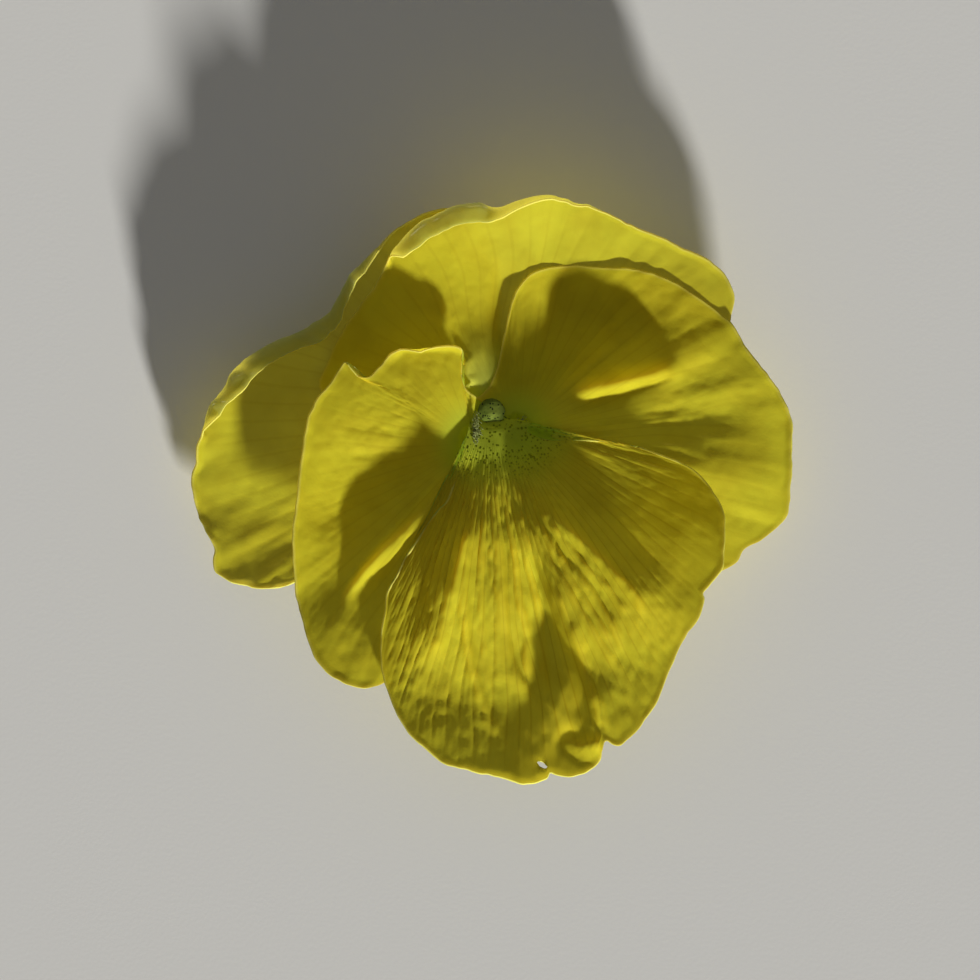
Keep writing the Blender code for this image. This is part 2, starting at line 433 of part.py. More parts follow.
LOWER = Petal(
    name="petal_lower",
    ribbed=True,
    root=((0.0, 3.2), (1.8, 3.0)),
    root_height=4.8,
    margin=[
        (-3.1, 3.0), (-3.6, 1.3), (-4.0, -0.1), (-4.5, -1.3), (-5.4, -2.3), (-6.2, -3.3), (-7.7, -5.6),
        (-8.7, -7.1), (-9.7, -9.1), (-10.5, -10.5), (-10.7, -12.1), (-11.0, -14.1), (-11.1, -16.6),
        (-10.9, -18.6), (-10.0, -21.3), (-9.2, -22.9), (-8.2, -24.4), (-6.7, -25.9), (-5.2, -27.1),
        (-3.7, -27.7), (-2.2, -28.1), (0.8, -28.8), (2.8, -29.4), (3.8, -29.5), (4.8, -29.3), (5.5, -28.9),
        (5.8, -28.3), (6.5, -28.6), (7.8, -28.8), (9.8, -28.0), (10.8, -26.9), (11.0, -25.9), (11.4, -25.1),
        (12.1, -25.5), (12.8, -25.6), (14.0, -24.6), (15.6, -22.6), (16.8, -20.4), (18.0, -17.6),
        (18.8, -15.6), (20.5, -13.1), (21.2, -11.1), (21.0, -10.4), (21.8, -9.5), (22.8, -8.3),
        (23.1, -6.1), (23.2, -3.1), (22.8, -1.6), (21.3, 0.7), (19.8, 2.1), (16.8, 3.4), (14.8, 4.1),
        (10.8, 4.7), (7.8, 4.8), (5.3, 4.9), (3.8, 5.6), (2.8, 6.2)],
    heights=[
        (0.0, 1.5, 8.2), (1.8, 1.7, 8.2), (-1.7, 2.1, 8.4), (2.8, 4.4, 8.2), (-3.2, 2.9, 8.8),
        (-3.9, -0.1, 9.2), (-6.2, -3.3, 9.3), (-8.7, -7.1, 9.3), (-10.5, -10.5, 9.1), (-11.0, -14.1, 9.2),
        (-10.9, -17.9, 9.5), (-9.2, -22.9, 10), (-6.7, -25.9, 9.9), (-3.7, -27.7, 9.6), (0.8, -28.8, 8.9),
        (3.8, -29.5, 8.6), (7.3, -28.8, 7.8), (10.8, -26.9, 9.2), (14.0, -24.6, 9.5), (16.8, -20.4, 10.2),
        (18.8, -15.6, 10.7), (21.2, -11.1, 12.1), (22.8, -8.3, 12.2), (23.2, -5.1, 11.9), (22.8, -1.6, 11.2),
        (19.8, 2.1, 10.4), (16.8, 3.4, 10), (14.8, 4.1, 9.7), (10.8, 4.7, 9.1), (7.8, 4.8, 8.9),
        (5.3, 4.9, 9.1), (3.0, 6.1, 8.5), (-1.0, -0.3, 9.6), (-2.9, -5.1, 10.9), (-4.3, -10.1, 10.8),
        (-6.0, -15.1, 9.8), (-8.7, -17.9, 9.2), (-5.2, -5.1, 9.8), (-7.7, -11.1, 9.4), (-9.2, -15.1, 9.2),
        (0.8, -3.1, 10), (-0.2, -7.1, 9.6), (-0.2, -11.1, 8.9), (-1.2, -15.1, 8.4), (-1.2, -20.1, 7.3),
        (-4.2, -20.1, 8.2), (-6.2, -21.1, 8.7), (0.8, -25.1, 7.7), (-3.2, -24.6, 8.9), (1.1, -13.1, 8.1),
        (1.5, -16.1, 7), (2.8, -18.6, 6.2), (4.8, -21.7, 4.9), (6.8, -23.3, 5.3), (8.5, -24.8, 7.4),
        (3.8, -7.1, 10), (5.3, -7.1, 10.6), (6.8, -11.1, 10.5), (8.3, -14.6, 10.2), (10.0, -21.1, 9.4),
        (10.8, -24.6, 9.6), (3.8, -0.6, 10.7), (6.8, -3.4, 11.6), (9.8, -5.9, 12.1), (12.3, -8.4, 12.8),
        (14.8, -11.1, 12.6), (16.3, -13.6, 11.8), (10.8, -11.1, 11.3), (10.8, -16.1, 9.9),
        (13.0, -16.1, 10.2), (14.8, -20.1, 10), (12.8, -21.1, 9.5), (5.3, 1.1, 9.5), (8.6, -1.4, 10.2),
        (11.6, -3.7, 10.8), (14.8, -7.1, 11.4), (18.3, -10.3, 11.6), (10.8, 1.4, 9.7), (15.8, -1.1, 10.8),
        (18.8, -5.1, 11.9), (5.6, -17.6, 5),
        (7.6, -20.4, 5.4), (4.6, -14.5, 5.7), (3.5, -11.5, 7.9), (6.2, -15.6, 6.2),
        (4.2, -9.4, 8.6), (5.5, -12.4, 7.6)],
    folds=[
        Fold(
            [(0.8, -10.1), (1.2, -14.1), (2.1, -17.3), (4.1, -20.8), (5.8, -22.3), (7.2, -23.6)],
            -0.7, 0.7, 1.1,
        ),
        Fold([(6.2, -24.6), (7.6, -25.0), (8.9, -25.5), (10.2, -25.4), (11.6, -24.9)], 1.6, 0.8, 1.0),
        Fold([(4.8, -5.6), (6.4, -10.1), (8.0, -14.3), (9.6, -20.1), (10.6, -24.6)], 0.7, 1.0, 1.0),
        Fold([(3.2, -3.6), (5.0, -9.6), (6.6, -14.2), (7.9, -18.0), (8.7, -21.4)], -1.5, 0.9, 1.8),
        Fold([(-2.9, -7.1), (-2.5, -15.1), (-1.4, -19.6), (0.3, -24.1)], 0.4, 0.6, 0.5),
        Fold([(-0.8, 0.4), (-2.7, -4.9), (-4.2, -10.1), (-6.0, -14.9), (-8.9, -17.9)], 0.7, 1.6, 2.2),
        Fold(
            [(3.3, -0.1), (6.6, -3.2), (9.6, -5.7), (12.1, -8.2), (14.8, -11.1), (16.3, -13.6)],
            0.7, 2.2, 1.3,
        ),
    ],
    rolls=[
        (-3.2, 2.9, 0, 1.2), (-4.5, -1.3, 25, 1), (-10.7, -12.1, 15, 1), (-8.2, -24.4, 10, 1),
        (3.8, -29.5, 20, 1), (12.8, -25.6, 10, 1), (20.5, -13.1, 10, 1), (23.1, -5.1, 15, 1),
        (16.8, 3.4, 10, 1), (2.8, 6.2, 0, 1)],
)


def make_material(name, colour, roughness):
    material = bpy.data.materials.new(name)
    material.use_nodes = True
    shader = material.node_tree.nodes["Principled BSDF"]
    shader.inputs["Base Color"].default_value = (*colour, 1.0)
    shader.inputs["Roughness"].default_value = roughness
    shader.inputs["Metallic"].default_value = 0.0
    return material


def add_object(name, mesh, material=None):
    body = bpy.data.objects.new(name, mesh)
    bpy.context.scene.collection.objects.link(body)
    mesh.shade_smooth()
    if material:
        mesh.materials.append(material)
    return body


def object_from_bmesh(name, bm):
    """An object whose mesh has no doubled points and faces outwards."""
    bmesh.ops.remove_doubles(bm, verts=bm.verts, dist=WELD * MM)
    bmesh.ops.recalc_face_normals(bm, faces=bm.faces)
    mesh = bpy.data.meshes.new(name)
    bm.to_mesh(mesh)
    bm.free()
    return add_object(name, mesh)


def sheet_object(name, grid, thickness, material=None):
    """A thin blade whose two faces are triangulated alike, thickened evenly about the grid."""
    rays, rows = grid.shape[:2]
    edge = grid[:, -1, :2]
    turns = edge[:-1, 0] * edge[1:, 1] - edge[1:, 0] * edge[:-1, 1]
    if turns.sum() > 0:
        grid = grid[::-1]
    corners = [tuple(point) for point in grid.reshape(-1, 3) * MM]
    faces = [
        (i * rows + j, (i + 1) * rows + j, (i + 1) * rows + j + 1, i * rows + j + 1)
        for i in range(rays - 1)
        for j in range(rows - 1)
    ]
    mesh = bpy.data.meshes.new(name)
    mesh.from_pydata(corners, [], faces)
    blade = add_object(name, mesh, material)
    blade.modifiers.new("triangles", "TRIANGULATE")
    thick = blade.modifiers.new("thickness", "SOLIDIFY")
    thick.thickness = thickness * MM
    thick.offset = 0.0
    return blade


def turned_object(name, profile, steps, ring=False):
    """A body turned about the throat's axis from (radius, height) points; a ring's points are a loop."""
    axis = Vector((THROAT_X, THROAT_Y, 0)) * MM
    bm = bmesh.new()
    corners = [bm.verts.new(axis + Vector((radius, 0, height)) * MM) for radius, height in profile]
    pairs = list(zip(corners, corners[1:]))
    if ring:
        pairs.append((corners[-1], corners[0]))
    edges = [bm.edges.new(pair) for pair in pairs]
    bmesh.ops.spin(
        bm, geom=corners + edges, cent=axis, axis=(0, 0, 1), angle=math.tau, steps=steps, use_merge=True
    )
    bmesh.ops.remove_doubles(bm, verts=bm.verts, dist=WELD * MM)
    bmesh.ops.dissolve_degenerate(bm, edges=bm.edges, dist=WELD * MM)
    return object_from_bmesh(name, bm)


def tube_object(name, path, radii, resolution):
    """A round tube along a path with flat closed ends."""
    curve = bpy.data.curves.new(name, "CURVE")
    curve.dimensions = "3D"
    curve.bevel_depth = MM
    curve.bevel_resolution = resolution
    curve.use_fill_caps = True
    line = curve.splines.new("POLY")
    line.points.add(len(path) - 1)
    for point, place, radius in zip(line.points, path, radii):
        point.co = (*(Vector(place) * MM), 1.0)
        point.radius = radius
    guide = bpy.data.objects.new(name + "_path", curve)
    bpy.context.scene.collection.objects.link(guide)
    bm = bmesh.new()
    bm.from_mesh(guide.evaluated_get(bpy.context.evaluated_depsgraph_get()).to_mesh())
    bpy.data.objects.remove(guide)
    return object_from_bmesh(name, bm)


def ball_bmesh(segments):
    """A ball of radius one in the middle of a mesh, ready to be shaped."""
    bm = bmesh.new()
    bmesh.ops.create_uvsphere(bm, u_segments=segments, v_segments=segments // 2 + 1, radius=1.0)
    return bm


def fuse(body, parts, material):
    """Union of a body with closed parts, which are then removed."""
    group = bpy.data.collections.new(body.name + "_parts")
    for part in parts:
        group.objects.link(part)
    union = body.modifiers.new("union", "BOOLEAN")
    union.operation = "UNION"
    union.operand_type = "COLLECTION"
    union.collection = group
    union.solver = "EXACT"
    bpy.context.view_layer.objects.active = body
    bpy.ops.object.modifier_apply(modifier=union.name)
    for part in parts:
        bpy.data.objects.remove(part)
    bpy.data.collections.remove(group)
    body.data.materials.clear()
    body.data.materials.append(material)


def polar(angle, distance):
    """A point at a distance from the throat's axis, at an angle in degrees from X."""
    turn = math.radians(angle)
    return THROAT_X + distance * math.cos(turn), THROAT_Y + distance * math.sin(turn)


def rounded_path(path, steps=5):
    """The path with rounded bends: quadratic curves between the middles of its legs."""
    corners = [Vector(point) for point in path]
    middles = [(a + b) / 2 for a, b in zip(corners, corners[1:])]
    points = [corners[0]]
    for before, corner, after in zip(middles, corners[1:-1], middles[1:]):
        for i in range(steps):
            t = i / steps
            points.append((1 - t) ** 2 * before + 2 * t * (1 - t) * corner + t * t * after)
    return points + [middles[-1], corners[-1]]


def leaf_grid(angle, reach, heights, widths, droop, cross_rows, length_rows):
    """Middle surface of a sepal or an auricle that points away from the throat's axis."""
    shares, halves = zip(*widths)
    start_height, end_height = heights
    turn = math.radians(angle)
    along = np.array([math.cos(turn), math.sin(turn)])
    across = np.array([-math.sin(turn), math.cos(turn)])
    points = np.zeros((cross_rows, length_rows, 3))
    for j, share in enumerate(np.linspace(0, 1, length_rows)):
        half = np.interp(share, shares, halves)
        distance = SEPAL_BASE_RADIUS + (reach - SEPAL_BASE_RADIUS) * share
        middle = start_height + (end_height - start_height) * share**droop
        for i, side in enumerate(np.linspace(-1, 1, cross_rows)):
            place = np.array([THROAT_X, THROAT_Y]) + along * distance + across * side * half
            keel = SEPAL_KEEL * half * side * side * ease_in(4 * (1 - share))
            points[i, j] = (*place, middle + keel)
    return points


def make_petal(petal, material):
    rays = RIBBED_RAYS if petal.ribbed else RAYS
    return sheet_object(petal.name, petal.grid(rays, ROWS, ROLL_ROWS), PETAL_THICKNESS, material)


def add_spur(lower_petal):
    """The nectar spur: a blunt sac from the lower petal's base down between the sepals."""
    path = [
        (*polar(LOWER_PETAL_ANGLE, SPUR_DISTANCE + shift), height) for height, _, shift in SPUR_PROFILE
    ]
    spur = tube_object("spur_form", path, [radius for _, radius, _ in SPUR_PROFILE], resolution=4)
    spur.hide_render = True
    spur.display_type = "WIRE"
    union = lower_petal.modifiers.new("spur", "BOOLEAN")
    union.operation = "UNION"
    union.solver = "EXACT"
    union.object = spur


def make_calyx(material):
    """Receptacle, sepals with their auricles, and the cut stalk that hooks over onto the surface."""
    parts = []
    for number, (angle, reach, tip_height) in enumerate(SEPALS):
        heights = (SEPAL_BASE_HEIGHT, tip_height)
        blade = leaf_grid(angle, reach, heights, SEPAL_WIDTHS, SEPAL_DROOP, cross_rows=5, length_rows=10)
        parts.append(sheet_object(f"sepal_{number}", blade, SEPAL_THICKNESS))
        heights = (AURICLE_BASE_HEIGHT, AURICLE_TIP_HEIGHT)
        lobe = leaf_grid(
            angle, AURICLE_REACH, heights, AURICLE_WIDTHS, AURICLE_DROOP, cross_rows=3, length_rows=5
        )
        parts.append(sheet_object(f"auricle_{number}", lobe, SEPAL_THICKNESS))
    path = rounded_path(STALK_PATH)
    parts.append(tube_object("stalk", path, [STALK_RADIUS] * len(path), resolution=4))
    fuse(turned_object("calyx_and_stalk", RECEPTACLE_PROFILE, steps=24), parts, material)


def make_stamens(material):
    """Five anthers fused into a cone round the ovary."""
    lobes = []
    for number in range(ANTHERS):
        angle = LOWER_PETAL_ANGLE + (number + 0.5) * 360 / ANTHERS
        x, y = polar(angle, CONE_INNER + CONE_WALL / 2)
        middle = Vector((x, y, (ANTHER_BOTTOM + ANTHER_TOP) / 2))
        size = Vector((ANTHER_DEPTH, ANTHER_WIDTH, (ANTHER_TOP - ANTHER_BOTTOM) / 2))
        turn = Matrix.Rotation(math.radians(angle), 3, "Z")
        bm = ball_bmesh(12)
        for corner in bm.verts:
            corner.co = (middle + turn @ (corner.co * size)) * MM
        lobes.append(object_from_bmesh(f"anther_{number}", bm))
    fuse(turned_object("stamens", CONE_PROFILE, steps=24, ring=True), lobes, material)


def make_pistil(material):
    """Ovary, bent style and the round stigma head with its hollow."""
    path = rounded_path([STYLE_FOOT, STYLE_BEND, STIGMA_CENTRE])
    style = tube_object("style", path, [STYLE_RADIUS] * len(path), resolution=2)
    pit = Vector(STIGMA_PIT)
    bm = ball_bmesh(18)
    for corner in bm.verts:
        depth = STIGMA_PIT_DEPTH * math.exp(-((corner.co.angle(pit) / STIGMA_PIT_SPREAD) ** 2))
        corner.co = (Vector(STIGMA_CENTRE) + corner.co * STIGMA_RADIUS * (1 - depth)) * MM
    head = object_from_bmesh("stigma", bm)
    fuse(turned_object("pistil", OVARY_PROFILE, steps=16), [style, head], material)


def main():
    for old in list(bpy.data.objects):
        bpy.data.objects.remove(old)
    yellow = make_material("petal_yellow", (0.64, 0.56, 0.03), 0.6)
    for petal in (UPPER_LEFT, UPPER_RIGHT, SIDE_LEFT, SIDE_RIGHT):
        make_petal(petal, yellow)
    add_spur(make_petal(LOWER, yellow))
    make_calyx(make_material("sepal_green", (0.13, 0.24, 0.05), 0.55))
    make_stamens(make_material("anther_cream", (0.62, 0.47, 0.16), 0.7))
    make_pistil(make_material("stigma_green", (0.20, 0.29, 0.08), 0.5))


main()
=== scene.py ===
"""The looks of a yellow pansy bloom, lying face up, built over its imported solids.

Outlines and heights are in millimetres in the part's own frame: X to the right of the face, Y to its
top, Z out of it. Meshes are in metres.
"""
import math
from dataclasses import dataclass, field

import bpy
import numpy as np
from mathutils import Matrix, Vector


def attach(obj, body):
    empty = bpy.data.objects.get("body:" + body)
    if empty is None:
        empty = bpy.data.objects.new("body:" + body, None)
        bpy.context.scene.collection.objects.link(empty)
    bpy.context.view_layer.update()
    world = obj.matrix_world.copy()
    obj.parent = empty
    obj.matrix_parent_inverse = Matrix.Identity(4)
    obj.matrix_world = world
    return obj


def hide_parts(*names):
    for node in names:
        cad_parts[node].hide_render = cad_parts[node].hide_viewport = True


bl_info = {
    "name": "Pansy bloom",
    "version": (1, 0, 0),
    "blender": (4, 5, 0),
    "location": "3D View > Sidebar > Pansy",
    "description": "Models a yellow pansy bloom: petals, throat, calyx, spur and stalk",
    "category": "Add Mesh",
}

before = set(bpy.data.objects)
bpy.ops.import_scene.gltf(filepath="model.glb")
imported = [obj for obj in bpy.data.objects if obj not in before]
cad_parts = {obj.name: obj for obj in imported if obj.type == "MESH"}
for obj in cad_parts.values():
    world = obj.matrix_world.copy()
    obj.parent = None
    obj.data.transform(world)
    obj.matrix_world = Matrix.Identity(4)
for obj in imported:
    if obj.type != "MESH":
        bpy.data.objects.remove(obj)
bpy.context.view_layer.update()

MM = 0.001

# distances that count as nothing: in mm, and in metres between corners that merge
TINY = 1e-9
WELD_DISTANCE = 1e-6
# faces round a turned body
SPIN_STEPS = 48
# steps after which the random heights repeat
LATTICE = 64
# points on each piece of a smooth margin
CURVE_POINTS = 25

# the throat's axis, as in the solids
THROAT = (0.3, 5.7)
LOWER_PETAL_ANGLE = 283.6
# a claw rises out of the throat over this length, and the second one is well past it
CLAW_RISE = 1.6
PAST_CLAW = 9.0

# a petal's mesh follows a notched margin over this depth, or this share of a short ray
NOTCH_DEPTH = 4.5
NOTCH_SHARE = 0.6
NOTCH_BLUR = 1.8
# towards the margin's ends the blur shrinks to this share of the way to them, and this much at least
BLUR_SHARE = 0.45
BLUR_LEAST = 0.001
# rows of the mesh lie closer together near the claw
ROW_SPREAD = 1.25

# a rolled margin turns over this share of its length
ROLL_TIGHTNESS = 0.6
ROLL_SHARE = 0.45
ROLL_SHORTEST = 1.0
ROLL_EASE = 3.0
# it covers at least this share of its length, and its start is found in a few rounds
ROLL_LEAST = 0.1
ROLL_ROUNDS = 4

# where the relief starts from the claw and how long it takes to come up, and the same at the margin
VEIN_START = 2.5
STREAK_START = 3.0
RELIEF_RISE = 6.0
MARGIN_RISE = 3.0
MARGIN_RELIEF = 0.15
# how sharp the grooves between the veins are, and their mean, which keeps the petal at its height
PLEAT_POWER = 0.55
PLEAT_MEAN = 0.7
# the share of the way to the margin where pleats fork, and over which they do
FORK_START = 0.5
FORK_LENGTH = 0.25
VEIN_WANDER = 0.5
# layers of noise: cells across a vein or the petal, length of a cell in mm, and strength
PUCKERS = [(1.7, 0.9, 1.0), (3.1, 0.5, 0.6)]
STREAKS = [(24, 9, 1.0), (53, 5, 0.6)]
# the frilled margin: cell length along it in mm, and strength
NIBBLES = [(1.6, 1.0), (0.7, 0.6)]
# its flutter and finer crinkle: strength, cell length along it, and the depth over which each fades
FLUTTER = (0.8, 2.6, 1.5)
CRINKLE = (0.5, 0.9, 2.2)
CRINKLE_DEPTH = 0.8


def ease_in(t):
    """Rises smoothly from 0 to 1."""
    t = np.clip(t, 0, 1)
    return t * t * (3 - 2 * t)


def noise(x, y, seed):
    """Smooth random heights between -1 and 1 that change over a distance of one."""
    lattice = np.random.default_rng(seed).uniform(-1, 1, (LATTICE, LATTICE))
    x, y = np.broadcast_arrays(x, y)
    cell_x, cell_y = np.floor(x).astype(int), np.floor(y).astype(int)
    u, v = ease_in(x - cell_x), ease_in(y - cell_y)
    rows = []
    for up in (0, 1):
        left, right = (lattice[(cell_x + along) % LATTICE, (cell_y + up) % LATTICE] for along in (0, 1))
        rows.append(left + (right - left) * u)
    return rows[0] + (rows[1] - rows[0]) * v


def layered(layers, across, run, seed):
    """Noise in layers, each with its cells across, its cell length along the run and its strength."""
    return sum(
        strength * noise(across * cells, run / length, seed + number)
        for number, (cells, length, strength) in enumerate(layers)
    )


@dataclass
class Fold:
    """A crest along a bent line, or a groove where its height is negative.

    left and right are its widths on each side, and ease is the share of its length that each end takes.
    """

    line: list
    height: float
    left: float
    right: float
    ease: float = 0.3

    def at(self, x, y):
        line = np.array(self.line, float)
        lengths = np.linalg.norm(np.diff(line, axis=0), axis=1)
        nearest = np.full(np.shape(x), np.inf)
        side = np.ones(np.shape(x))
        share = np.zeros(np.shape(x))
        done = 0.0
        for start, end, length in zip(line[:-1], line[1:], lengths):
            along = (end - start) / length
            t = np.clip((x - start[0]) * along[0] + (y - start[1]) * along[1], 0, length)
            off_x = x - start[0] - t * along[0]
            off_y = y - start[1] - t * along[1]
            distance = np.hypot(off_x, off_y)
            closer = distance < nearest
            nearest = np.where(closer, distance, nearest)
            side = np.where(closer, along[0] * off_y - along[1] * off_x, side)
            share = np.where(closer, (done + t) / lengths.sum(), share)
            done += length
        width = np.where(side > 0, self.left, self.right)
        ends = ease_in(share / self.ease) * ease_in((1 - share) / self.ease)
        return self.height * ends * np.exp(-((nearest / width) ** 2))


class Sheet:
    """The thin-plate surface that bends least through a petal's given heights."""

    SOFTNESS = 0.02

    def __init__(self, heights):
        spots = np.array(heights, float)
        self.places = spots[:, :2]
        count = len(spots)
        apart = np.linalg.norm(self.places[:, None] - self.places[None], axis=2)
        plane = np.hstack([np.ones((count, 1)), self.places])
        system = np.zeros((count + 3, count + 3))
        system[:count, :count] = self.bend(apart) + self.SOFTNESS * count * np.eye(count)
        system[:count, count:] = plane
        system[count:, :count] = plane.T
        self.weights = np.linalg.solve(system, np.concatenate([spots[:, 2], np.zeros(3)]))

    @staticmethod
    def bend(distance):
        return np.where(distance > TINY, distance**2 * np.log(np.maximum(distance, TINY)), 0.0)

    def at(self, x, y):
        level, slope_x, slope_y = self.weights[-3:]
        z = level + slope_x * x + slope_y * y
        for (place_x, place_y), weight in zip(self.places, self.weights):
            z = z + weight * self.bend(np.hypot(x - place_x, y - place_y))
        return z


@dataclass
class Texture:
    """A petal's relief: its veins, the puckers between them, slow streaks and a frilled margin, in mm.

    crisp gives the veins' strength at shares of the way along the margin.
    """

    veins: int
    vein_height: float
    pucker: float
    streak: float
    frill: float
    seed: int
    crisp: list = field(default_factory=lambda: [(0.0, 1.0)])

    def phase(self, across, run):
        """Which vein a point is nearest to: whole numbers lie on the veins, which wander and fork."""
        drift = VEIN_WANDER * noise(across * 0.4 * self.veins, run / 7, self.seed)
        return self.veins * across + drift

    def relief(self, across, run, edge):
        fan = ease_in((run - VEIN_START) / RELIEF_RISE) * ease_in(edge / MARGIN_RISE + MARGIN_RELIEF)
        fan = fan * np.interp(across, *zip(*self.crisp))
        strength = 0.6 + 0.4 * noise(across * self.veins, run / 4, self.seed + 1)
        # past the middle of the petal each pleat forks in two
        phase = np.pi * self.phase(across, run)
        pleat, forked = (np.abs(np.sin(waves * phase)) ** PLEAT_POWER - PLEAT_MEAN for waves in (1, 2))
        split = ease_in((run / (run + edge) - FORK_START) / FORK_LENGTH)
        height = self.vein_height * fan * strength * (pleat + (0.5 * forked - 0.4 * pleat) * split)
        height = height + self.pucker * fan * layered(PUCKERS, across * self.veins, run, self.seed + 2)
        streaks = layered(STREAKS, across, run, self.seed + 4)
        return height + self.streak * ease_in((run - STREAK_START) / RELIEF_RISE) * streaks


@dataclass
class Petal:
    """A petal from above: its claw's end, its margin, heights on it, its folds and its rolled margin.

    root and margin are (x, y), heights are (x, y, z), and rolls are (x, y, degrees turned, length turned).
    """

    name: str
    root: tuple
    root_height: float
    margin: list
    heights: list
    rolls: list
    texture: Texture
    folds: list = field(default_factory=list)

    def __post_init__(self):
        self.sheet = Sheet(self.heights)

    def lift(self, x, y, from_root):
        """Height of the petal's middle, with the claw rising steeply out of the throat."""
        z = self.sheet.at(x, y)
        for fold in self.folds:
            z = z + fold.at(x, y)
        return self.root_height + (z - self.root_height) * ease_in(from_root / CLAW_RISE)

    def roll_at(self, edge):
        """How far the margin turns and over what length, at each point of the edge."""
        marks = sorted(
            (int(np.argmin(np.linalg.norm(edge - (x, y), axis=1))), math.radians(turn), length)
            for x, y, turn, length in self.rolls
        )
        places, turns, lengths = zip(*marks)
        index = np.arange(len(edge))
        return np.interp(index, places, turns), np.interp(index, places, lengths)

    def grid(self, rays, rows, roll_rows):
        """Points of the petal's middle in rays from the claw to the margin, and their texture places."""
        edge = curve_through(self.margin, rays)
        turn, length = self.roll_at(edge)
        root = np.linspace(self.root[0], self.root[1], rays)
        plain_edge = soften(edge, NOTCH_BLUR)
        notch = edge - plain_edge
        reach = np.linalg.norm(plain_edge - root, axis=1)[:, None]
        ray = (plain_edge - root) / reach
        arc = lengths_along(edge)[:, None]
        seed, frill = self.texture.seed, self.texture.frill
        nibbles = sum(
            strength * noise(arc / cell, 0.5, seed + number)
            for number, (cell, strength) in enumerate(NIBBLES, 6)
        )
        notch = notch + ray * frill * nibbles
        length = np.minimum(length[:, None], ROLL_SHARE * reach)
        turn = turn[:, None] * ease_in((reach - ROLL_SHORTEST) / ROLL_EASE)

        def at(run):
            return (root[:, i : i + 1] + ray[:, i : i + 1] * run for i in (0, 1))

        # the roll starts where its furthest point just meets the drawn margin
        share = np.linspace(0, 1, roll_rows + 1)[None]
        turned = turn * ease_in((share[:, :-1] + share[:, 1:]) / 2 / ROLL_TIGHTNESS)
        used = length
        for _ in range(ROLL_ROUNDS):
            start = reach - used
            run = start + length * share
            rise = self.lift(*at(run), run)
            step, climb = np.diff(run, axis=1), np.diff(rise, axis=1)
            out = np.cumsum(step * np.cos(turned) - climb * np.sin(turned), axis=1)
            up = np.cumsum(step * np.sin(turned) + climb * np.cos(turned), axis=1)
            used = np.maximum(out.max(axis=1, keepdims=True), ROLL_LEAST * length)

        flat_run = start * np.linspace(0, 1, rows)[None] ** ROW_SPREAD
        run = np.hstack([flat_run, start + out])
        depth = np.minimum(NOTCH_DEPTH, NOTCH_SHARE * reach)
        follow = ease_in(1 - (reach - np.maximum.accumulate(run, axis=1)) / depth)
        x, y = (place + notch[:, i : i + 1] * follow for i, place in enumerate(at(run)))
        flat_z = self.lift(x[:, :rows], y[:, :rows], flat_run)
        z = np.hstack([flat_z, flat_z[:, -1:] + up])

        # distances over the surface, which go on round the roll
        surface_run = np.hstack([flat_run, start + length * share[:, 1:]])
        from_edge = start + length - surface_run
        across = np.broadcast_to(np.linspace(0, 1, rays)[:, None], x.shape)
        waves = ((8, 0.5, FLUTTER), (9, from_edge / CRINKLE_DEPTH, CRINKLE))
        flutter, crinkle = (
            strength * noise(arc / cell, depth, seed + number) * np.exp(-from_edge / fade)
            for number, depth, (strength, cell, fade) in waves
        )
        z = z + self.texture.relief(across, surface_run, from_edge) + frill * (flutter + crinkle)
        marks = {"phase": self.texture.phase(across, surface_run), "run": surface_run, "edge": from_edge}
        return np.stack([x, y, z], axis=2), marks


def lengths_along(points):
    return np.concatenate([[0], np.cumsum(np.linalg.norm(np.diff(points, axis=0), axis=1))])


def between(t, start, end, a, b):
    """The curve that is a at start and b at end."""
    return (end - t) / (end - start) * a + (t - start) / (end - start) * b


def curve_through(points, count):
    """Evenly spaced points on a smooth curve (centripetal Catmull-Rom) through the given ones."""
    p = np.array(points, float)
    p = np.vstack([2 * p[0] - p[1], p, 2 * p[-1] - p[-2]])
    pieces = []
    for a, b, c, d in zip(p[:-3], p[1:-2], p[2:-1], p[3:]):
        t0 = 0.0
        t1 = t0 + math.sqrt(np.linalg.norm(b - a))
        t2 = t1 + math.sqrt(np.linalg.norm(c - b))
        t3 = t2 + math.sqrt(np.linalg.norm(d - c))
        t = np.linspace(t1, t2, CURVE_POINTS)[:-1, None]
        ab, bc, cd = between(t, t0, t1, a, b), between(t, t1, t2, b, c), between(t, t2, t3, c, d)
        pieces.append(between(t, t1, t2, between(t, t0, t2, ab, bc), between(t, t1, t3, bc, cd)))
    pieces.append(p[-2][None])
    dense = np.vstack(pieces)
    run = lengths_along(dense)
    places = np.linspace(0, run[-1], count)
    return np.stack([np.interp(places, run, dense[:, i]) for i in range(2)], axis=1)


def soften(edge, blur):
    """The edge smoothed along its length, with its two ends kept."""
    run = lengths_along(edge)
    result = edge.copy()
    for i, place in enumerate(run):
        width = min(blur, BLUR_SHARE * min(place, run[-1] - place) + BLUR_LEAST)
        weight = np.exp(-0.5 * ((run - place) / width) ** 2)
        result[i] = (weight[:, None] * edge).sum(axis=0) / weight.sum()
    return result


